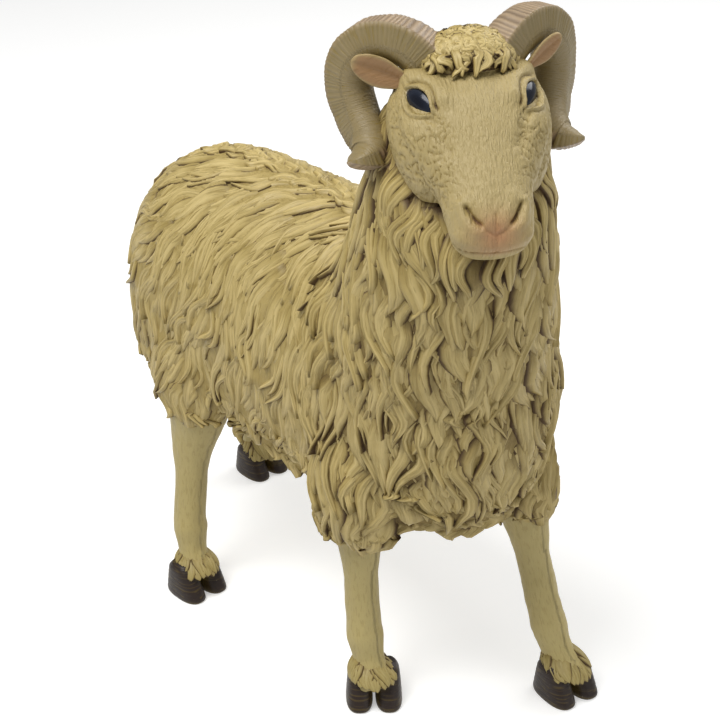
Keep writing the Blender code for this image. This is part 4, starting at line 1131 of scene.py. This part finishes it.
print("ground raised by", round(float(np.mean(rise)) * 1000, 2), "mm on average")
# The raised ground stores a low height, lower still on the chest and neck, so the paint darkens it between
# the locks: wash and painted shade.
store(raised, "height", 0.48 - 0.24 * chest)
store(raised, "comb", points[:, [0, 2, 1]])
place(raised, "fleece_ground", ground_paint)
# Chest and neck take a paint with more wash and more painted shade, for they lie under the head and face
# down.
for name, forms in fleece.items():
    place(forms.mesh(name), name, chest_wash_and_shade_paint if name in ("fleece_chest", "fleece_neck") else fleece_paint)

# %% [markdown]
# ## Forelock
# A cushion of small tight curls sits between the horns. Behind, they are little more than pebbles. In
# front, larger curls hang over the brow, so these are placed one by one: where each starts and ends,
# across and along the head in shares of its sizes, and to which hand it turns.

# %% Cushion
FORELOCK_ROWS = [
    (-0.127, 0.05), (-0.112, 0.50), (-0.078, 0.80), (-0.029, 0.97), (0.010, 1.00), (0.049, 0.93),
    (0.083, 0.68), (0.102, 0.30), (0.107, 0.05),
]
BROW_CURLS = [
    (-0.29, -0.01, -0.31, 0.09, 1), (-0.21, 0.01, -0.18, 0.125, -1), (-0.13, 0.02, -0.10, 0.15, 1),
    (-0.06, 0.02, -0.05, 0.125, -1), (0.02, 0.02, 0.03, 0.15, 1), (0.10, 0.02, 0.11, 0.115, -1),
    (0.18, 0.01, 0.19, 0.13, 1), (0.26, -0.01, 0.28, 0.115, -1),
]
forelock = Forms()
cushion = [
    oval(on_head(0, along * HEAD_LENGTH * 1000, -0.05 * HEAD_DEPTH * 1000), LEFT, BROW, 0.0200 * size,
         0.0155 * size, 0.0140 * size, 32)
    for along, size in FORELOCK_ROWS
]
# The cushion stores a low height, so the paint darkens it under the curls: wash and painted shade.
forelock.loft(cushion, height=np.full((len(cushion), 32), 0.45))


def cushion_lift(out, along):
    """Height of the cushion in millimetres at a spot of the head."""
    size = np.interp(along / 1000 / HEAD_LENGTH, *np.transpose(FORELOCK_ROWS))
    return -2.7 + 14.5 * size * np.sqrt(np.clip(1 - (out / (20 * size)) ** 2, 0.02, 1))


def curl(line, width, flames):
    """A short lock along a line of head places, facing out of the cushion."""
    spine = np.array([on_head(*spot) for spot in line])
    outs = np.array([unit(BROW + 0.9 * LEFT * x / 20 + 0.3 * FACE * y / 12) for x, y, _ in line])
    free = np.ones(len(line))
    lock(forelock, (spine, outs, free), width, 0.0012, dice.random(), flames, 0.0, 10, 2, 0.7, 8)


print("the cushion rises", round(float(cushion_lift(0, 0)), 1), "mm over the poll")

# %% Pebbles and curls
PEBBLES = 430
for k in range(PEBBLES):
    out, along = dice.uniform(-20, 20), dice.uniform(-12.5, 8)
    if (out / 20) ** 2 + ((along + 2.5) / 10.5) ** 2 > 1:
        continue
    start, hand, reach = dice.uniform(0, 2 * pi), dice.choice([-1, 1]), dice.uniform(2.0, 3.3)
    line = []
    for share in np.linspace(0, 1, 8):
        angle, radius = start + hand * 4.4 * share, reach * (1 - 0.5 * share)
        x, y = out + radius * cos(angle), along + radius * sin(angle)
        line.append((x, y, cushion_lift(x, y) + 1.7 + 1.0 * sin(pi * share)))
    curl(line, dice.uniform(0.0044, 0.0060), 1)
WIDE, LONG, DEEP = 57, 102.5, 54
for out, along, tip_out, tip_along, hand in BROW_CURLS:
    line = []
    for share in np.linspace(0, 1, 9):
        side, spot = out + (tip_out - out) * share, along + (tip_along - along) * share
        dome = DEEP * (0.27 - 1.35 * side**2 - 0.45 * max(spot, 0)) + 2.0 * sin(pi * share)
        line.append((side * WIDE + 2.6 * hand * sin(share * pi * 1.45), spot * LONG, dome + 0.6))
    curl(line, 0.0058, 2)
place(forelock.mesh("forelock"), "forelock", fleece_paint)

# %% [markdown]
# ## Horns
# A ram's horn grows in rings and keeps a keel where its front and its outer face meet. The loft runs
# along the curl in very short steps, so that the rings are real relief: fine ones, and a broad swell
# every centimetre. They are deepest on the outer face, which is also painted in taupe and stores its
# own value for that. A row holds a place in the curl, outward, ahead and up, the thickness of the
# horn and its flatness, for near the end it becomes a tongue.

# %% Measures of the horns
HORN_TURN = radians(28.5)
HORN_REACH, HORN_HEIGHT, HORN_THICKNESS = 0.0455, 0.0500, 0.0205
KEEL = 0.19 * pi
FINE_RING, BROAD_RING = 0.0015, 0.0096
HORN_ROWS = [
    (0.20, -0.04, -0.14, 1.00, 1.0), (0.33, -0.08, 0.00, 1.04, 1.0), (0.51, -0.16, 0.15, 1.03, 1.0),
    (0.75, -0.31, 0.16, 0.98, 1.0), (0.92, -0.42, 0.02, 0.95, 1.0), (0.97, -0.46, -0.22, 0.92, 1.0),
    (0.93, -0.39, -0.44, 0.88, 1.0), (0.88, -0.22, -0.63, 0.84, 1.0), (0.93, -0.07, -0.72, 0.70, 1.2),
    (1.06, 0.02, -0.745, 0.36, 1.9), (1.14, 0.05, -0.745, 0.08, 3.0),
]


# %% Rings of a horn
def horn_rings(side, count, sides):
    """Rings of a horn with height, comb place and growth band of each of their points."""
    ahead = np.array([-sin(HORN_TURN), -cos(HORN_TURN), 0])
    left = np.array([cos(HORN_TURN), -sin(HORN_TURN), 0]) * cos(HEAD_LEAN) + Z_AXIS * sin(HEAD_LEAN)
    up = np.cross(left, -ahead)
    up = up * np.sign(up[2])
    rows = smooth_rows(HORN_ROWS, count)
    spine = POLL + np.outer(rows[:, 0], left * side * HORN_REACH)
    spine += np.outer(rows[:, 1], ahead * HORN_HEIGHT) + np.outer(rows[:, 2], up * HORN_HEIGHT)
    middle = spine[count // 5: -count // 5].mean(axis=0)
    turn = circle(sides)
    cosine, sine = np.cos(turn), np.sin(turn)
    power = 2.0 + 3.0 * np.exp(-(((turn - KEEL) / 0.42) ** 2))
    keel = 1 + 0.10 * np.exp(-np.abs(turn - KEEL) / 0.13)
    band = step(KEEL - 0.12, KEEL + 0.06, turn) * step(pi + 0.4, pi, turn)
    outer = np.maximum(band, step(-0.55, 0.35, sine) * 0.55) * 0.95 + 0.05
    found = []
    for point, forward, travel, (*_, size, flat) in zip(
            spine, unit(np.gradient(spine, axis=0)), travelled(spine), rows):
        rim = unit((point - middle) - forward * ((point - middle) @ forward))
        face = np.cross(rim, forward)
        face = face * np.sign(face @ (left * side + ahead * 0.8))
        half = max(size, 0.05) * HORN_THICKNESS / 2
        x = squared(cosine, power) * half * 0.94 * flat * keel
        y = squared(sine, power) * np.where(sine > 0, 1.12, 0.9) * half * keel
        growth = 0.5 + 0.5 * sin(travel / FINE_RING * 2 * pi + 1.4 * sin(travel / 0.0083 * 2 * pi))
        broad = 0.5 + 0.5 * sin(travel / BROAD_RING * 2 * pi + 0.8 * sin(travel * 150))
        dent = (0.00034 * growth + 0.00030 * broad) * outer * min(half / 0.006, 1)
        ring = point + np.outer(x - cosine * dent, face) + np.outer(y - sine * dent, rim)
        comb = np.stack([np.full(sides, travel), turn * half, np.full(sides, side * 0.1)], -1)
        found.append((ring, 1 - (0.55 * growth + 0.20 * broad) * outer, comb, band))
    return [np.array(values)[:, ::-side] for values in zip(*found)]


# %% Horns in place
horn_forms, horn_bands = Forms(), []
for side in (-1, 1):
    *shape, bands = horn_rings(side, 480, 34)
    horn_forms.loft(*shape)
    horn_bands.append(bands.ravel())
horn_mesh = horn_forms.mesh("horns")
store(horn_mesh, "band", np.concatenate(horn_bands))
TAUPE, RING_BROWN = (0.43, 0.31, 0.205, 1), (0.10, 0.065, 0.036, 1)
horn_paint, tree, surface, colour, spot = hair_paint("horn_paint")
in_cut = maths(tree, "MULTIPLY_ADD", stored(tree, "height"), -1.1, 1.0, clamp=True)
taupe = blend(tree, in_cut, blend(tree, 0.72, colour, TAUPE), RING_BROWN)
tree.links.new(blend(tree, stored(tree, "band"), colour, taupe), surface.inputs["Base Color"])
place(horn_mesh, "horns", horn_paint)

# %% [markdown]
# ## Ears
# Each ear is a leaf folded a little along its middle, and the left one is smaller. Two skins would
# leave a sharp rim, so the leaf is a loft across its length with a real thickness. A stored value
# marks the hollow side, which is painted a dull terracotta.

# %% Ears
EAR_ROWS = [(-0.10, 0.34), (0.0, 0.44), (0.2, 0.76), (0.45, 1.0), (0.7, 0.93), (0.88, 0.66), (0.97, 0.36),
            (1.0, 0.04)]
EARS = {-1: ((-26.0, 5.5, -2.4), 0.0245, 0.0072, 0.36), 1: ((27.0, 2.0, -0.5), 0.0200, 0.0048, 0.62)}
TERRACOTTA = (0.30, 0.135, 0.055, 1)


def ear_rings(side):
    """Rings of an ear, and how far each point lies on its hollow side."""
    root, length, broad, back = EARS[side]
    reach = unit(LEFT * side * 0.86 - FACE * back + BROW * 0.06)
    open_side = unit(FACE * 0.75 + BROW * 0.35)
    flat = unit(np.cross(open_side, reach))
    open_side = np.cross(reach, flat)
    open_side = open_side * np.sign(open_side @ FACE)
    turn = circle(40)
    cosine, sine = np.cos(turn), np.sin(turn)
    rings, inner = [], []
    for share, width in smooth_rows(EAR_ROWS, 34):
        half = max(width, 0.03) * broad
        x, thick = cosine * half, 0.0016 * (0.4 + 0.6 * min(width * 2, 1))
        fold = 0.34 * half * (1 - (x / half) ** 2) + 0.25 * half * np.exp(-((x / (0.25 * half)) ** 2))
        y = sine * thick - fold * (0.9 - 0.4 * share)
        centre, bend = on_head(*root) + reach * share * length, -0.0022 * share**2
        rings.append(centre + np.outer(x, flat) + np.outer(y + bend, open_side))
        inner.append(step(0.05, 0.6, sine) * step(1.02, 0.72, np.abs(cosine)) * step(1.0, 0.85, share))
    return np.array(rings)[:, ::side], np.array(inner)[:, ::side]


# %% Ears in place
ear_forms, ear_inner = Forms(), []
for side in (-1, 1):
    rings, inner = ear_rings(side)
    ear_forms.loft(rings)
    ear_inner.append(inner.ravel())
ear_mesh = ear_forms.mesh("ears")
store(ear_mesh, "rosy", np.concatenate(ear_inner))
out, along, _ = head_places(read_points(ear_mesh)[0]).T / 1000
store_comb(ear_mesh, along, out)
store(ear_mesh, "height", 1 - 0.5 * np.clip(hollows(ear_mesh) * 3, 0, 1))
ear_paint, tree, surface, colour, spot = hair_paint("ear_paint")
inside = blend(tree, maths(tree, "MULTIPLY", stored(tree, "rosy"), 0.62), colour, TERRACOTTA)
tree.links.new(inside, surface.inputs["Base Color"])
place(ear_mesh, "ears", ear_paint)

# %% [markdown]
# ## Legs and hooves
# The legs carry short smooth hair over a slightly lumpy form. Just above each hoof, small tufts hang
# over the edge in a zigzag. They are the same locks as before, only short and straight. The hooves are
# cloven: two claws that stand flat on the ground, each a loft that is widest at the sole.

# %% Skin of the legs
leg_forms = Forms()
for leg in LEGS:
    leg_forms.loft(tube(*leg_line(leg, 44), X_AXIS, 28))
leg_mesh = fuse(leg_forms, "legs", 0.0015, 2)
points, normals = read_points(leg_mesh)
hairs = np.array([noise.noise(Vector((x * 420, y * 420, z * 110))) for x, y, z in points])
lumps = np.array([noise.noise(Vector((x * 95, y * 95, z * 55))) for x, y, z in points])
points += normals * (0.00040 * hairs + 0.0007 * lumps)[:, None]
write_points(leg_mesh, points)
store(leg_mesh, "height", 1 - np.clip(hollows(leg_mesh) * 2.2, 0, 0.6))
round_leg, nearest = np.zeros(len(points)), np.ones(len(points))
for leg in LEGS:
    spine = leg_line(leg, 44)[0]
    middle = np.stack([np.interp(points[:, 2], spine[:, 2], spine[:, k]) for k in range(2)], -1)
    offset = points[:, :2] - middle
    gap = np.linalg.norm(offset, axis=1)
    closer = gap < nearest
    round_leg = np.where(closer, np.arctan2(offset[:, 0], offset[:, 1]) * 0.009, round_leg)
    nearest = np.where(closer, gap, nearest)
store_comb(leg_mesh, round_leg, points[:, 2])
leg_paint = hair_paint("leg_paint")[0]
place(leg_mesh, "legs", leg_paint)

# %% Hooves
HOOF_LENGTH, HOOF_WIDTH, HOOF_HEIGHT, CLEFT = 0.0275, 0.029, 0.017, 0.0012
CLAW_ROWS = [
    (0.00, 0.94, 0.93, 0.00), (0.03, 0.99, 0.98, 0.00), (0.10, 1.00, 1.00, 0.00),
    (0.30, 0.92, 0.98, -0.05), (0.55, 0.81, 0.93, -0.12), (0.80, 0.70, 0.87, -0.19),
    (1.00, 0.60, 0.78, -0.24), (1.15, 0.42, 0.55, -0.27),
]
DUST = (0.30, 0.25, 0.17, 1)


def claw_rings(foot, claw, turn):
    """One claw of a hoof, from its flat sole up under the hair."""
    ahead = np.array([sin(turn), -cos(turn), 0])
    left = np.array([cos(turn), sin(turn), 0])
    half = (HOOF_WIDTH - CLEFT) / 4
    rings = []
    for height, length, width, shift in smooth_rows(CLAW_ROWS, 26):
        height = max(height, 0)
        line = 1 - 0.012 * (0.5 + 0.5 * sin(height * 2 * pi * 5))
        centre = foot + ahead * shift * HOOF_LENGTH * 0.5 + Z_AXIS * height * HOOF_HEIGHT
        centre = centre + left * claw * (CLEFT / 2 + half)
        back, front = HOOF_LENGTH * 0.54 * length * line, HOOF_LENGTH * 0.46 * length * line
        rings.append(oval(centre, left, -ahead, half * width * line, back, front, 32, 2.5))
    return rings


# %% Hooves in place
hoof_forms = Forms()
for leg in LEGS:
    for claw in (-1, 1):
        hoof_forms.loft(claw_rings(np.array(leg["foot"]), claw, leg["turn"]))
hoof_mesh = hoof_forms.mesh("hooves")
x, y, z = read_points(hoof_mesh)[0].T
store_comb(hoof_mesh, z, x + y)
hoof_paint, tree, surface, colour, spot = hair_paint("hoof_paint")
specks = remap(tree, mottle(tree, spot, 520.0, 5.0, Roughness=0.7), 0.66, 0.74, 0.6, "LINEAR")
surface.inputs["Specular IOR Level"].default_value = 0.3
tree.links.new(blend(tree, specks, colour, DUST), surface.inputs["Base Color"])
place(hoof_mesh, "hooves", hoof_paint)

# %% Tufts over the hooves
TUFTS = 26
tufts = Forms()
share = np.linspace(0, 1, 6)[:, None]
for leg in LEGS:
    spine, widths, depths = leg_line(leg, 44)
    for k in range(TUFTS):
        angle = 2 * pi * (k + 0.6 * dice.random()) / TUFTS
        level = 0.0215 + 0.003 * dice.random()
        row = int(np.argmin(np.abs(spine[:, 2] - level)))
        away = np.array([cos(angle), sin(angle), 0])
        start = spine[row] + away * np.array([widths[row], depths[row], 0]) * 0.6
        foot = np.array(leg["foot"]) + away * 0.0124
        foot[2] = 0.0120 + 0.0035 * dice.random()
        line = start + (foot - start) * share + away * 0.0012 * np.sin(share * pi)
        outs = np.tile(unit(away + Z_AXIS * 0.5), (6, 1))
        lock(tufts, (line, outs, np.ones(6)), 0.0066, 0.0004, dice.random(), 1, 0.0004, 10, 4, 0.8)
place(tufts.mesh("hoof_tufts"), "hoof_tufts", leg_paint)

# %% [markdown]
# ## Studio
# The photograph shows the ram on white, from in front of its right shoulder and a little above, under
# soft light. The floor is a plain pale sheet that shines a little for the camera, so it shows as near
# white but keeps the shadow. The main lamp stands high beside the ram's right flank, a weak one far in
# front, a third high on the other side, and the world fills the rest.

# %% Floor
FLOOR_REACH, FLOOR_GLOW = 4.0, 0.40
sheet = bpy.data.meshes.new("floor")
corners = [(x * FLOOR_REACH, y * FLOOR_REACH, 0) for x, y in ((-1, -1), (1, -1), (1, 1), (-1, 1))]
sheet.from_pydata(corners, [], [(0, 1, 2, 3)])
floor = bpy.data.objects.new("floor", sheet)
bpy.context.collection.objects.link(floor)
floor_paint, tree, surface = new_paint("floor_paint")
surface.inputs["Base Color"].default_value = (0.74, 0.74, 0.73, 1)
surface.inputs["Roughness"].default_value = 0.9
surface.inputs["Emission Color"].default_value = (1, 1, 1, 1)
seen = add_node(tree, "ShaderNodeLightPath").outputs
direct = maths(tree, "MAXIMUM", seen["Is Camera Ray"], seen["Is Glossy Ray"])
tree.links.new(maths(tree, "MULTIPLY", direct, FLOOR_GLOW), surface.inputs["Emission Strength"])
sheet.materials.append(floor_paint)
print("floor of", 2 * FLOOR_REACH, "m")

# %% World
WORLD_LIGHT, WORLD_SEEN = 0.32, 0.66
world = bpy.data.worlds.new("studio")
bpy.context.scene.world = world
world.use_nodes = True
tree, sky = world.node_tree, world.node_tree.nodes["Background"].inputs
seen = add_node(tree, "ShaderNodeLightPath").outputs["Is Camera Ray"]
tree.links.new(maths(tree, "MULTIPLY_ADD", seen, WORLD_SEEN, WORLD_LIGHT), sky["Strength"])
sky["Color"].default_value = (1.0, 1.0, 1.0, 1)
print("strength of the world on the ram:", WORLD_LIGHT)

# %% Lamps
LAMPS = {
    "key": ((-0.75, 0.05, 1.65), (0, 0, 0.18), 0.9, 25.0),
    "fill": ((0.25, -1.5, 0.95), (0, 0, 0.18), 1.2, 4.5),
    "back": ((1.15, 0.05, 1.15), (0, 0, 0.2), 0.9, 10.0),
}
for name, (spot, aim, size, watts) in LAMPS.items():
    lamp = bpy.data.objects.new(name, bpy.data.lights.new(name, "AREA"))
    lamp.data.size, lamp.data.energy = size, watts
    lamp.location = spot
    lamp.rotation_euler = (Vector(aim) - Vector(spot)).to_track_quat("-Z", "Y").to_euler()
    bpy.context.collection.objects.link(lamp)
    print(name, "lamp:", watts, "W at", spot)

# %% Camera
CAMERA_TURN, CAMERA_DIP = radians(39.96), radians(27.0)
camera = bpy.data.objects.new("camera", bpy.data.cameras.new("camera"))
camera.location = Vector(np.array([-0.4674, -0.5751, 0.5307]) - ORIGIN)
look = Vector((sin(CAMERA_TURN) * cos(CAMERA_DIP), cos(CAMERA_TURN) * cos(CAMERA_DIP), -sin(CAMERA_DIP)))
camera.rotation_euler = look.to_track_quat("-Z", "Y").to_euler()
camera.data.lens, camera.data.sensor_width = 80, 36
bpy.context.collection.objects.link(camera)
bpy.context.scene.camera = camera
bpy.context.scene.view_settings.view_transform = "Standard"
gap = (camera.location - Vector(POLL - ORIGIN)).length
print("the camera stands", round(gap, 3), "m from the poll")
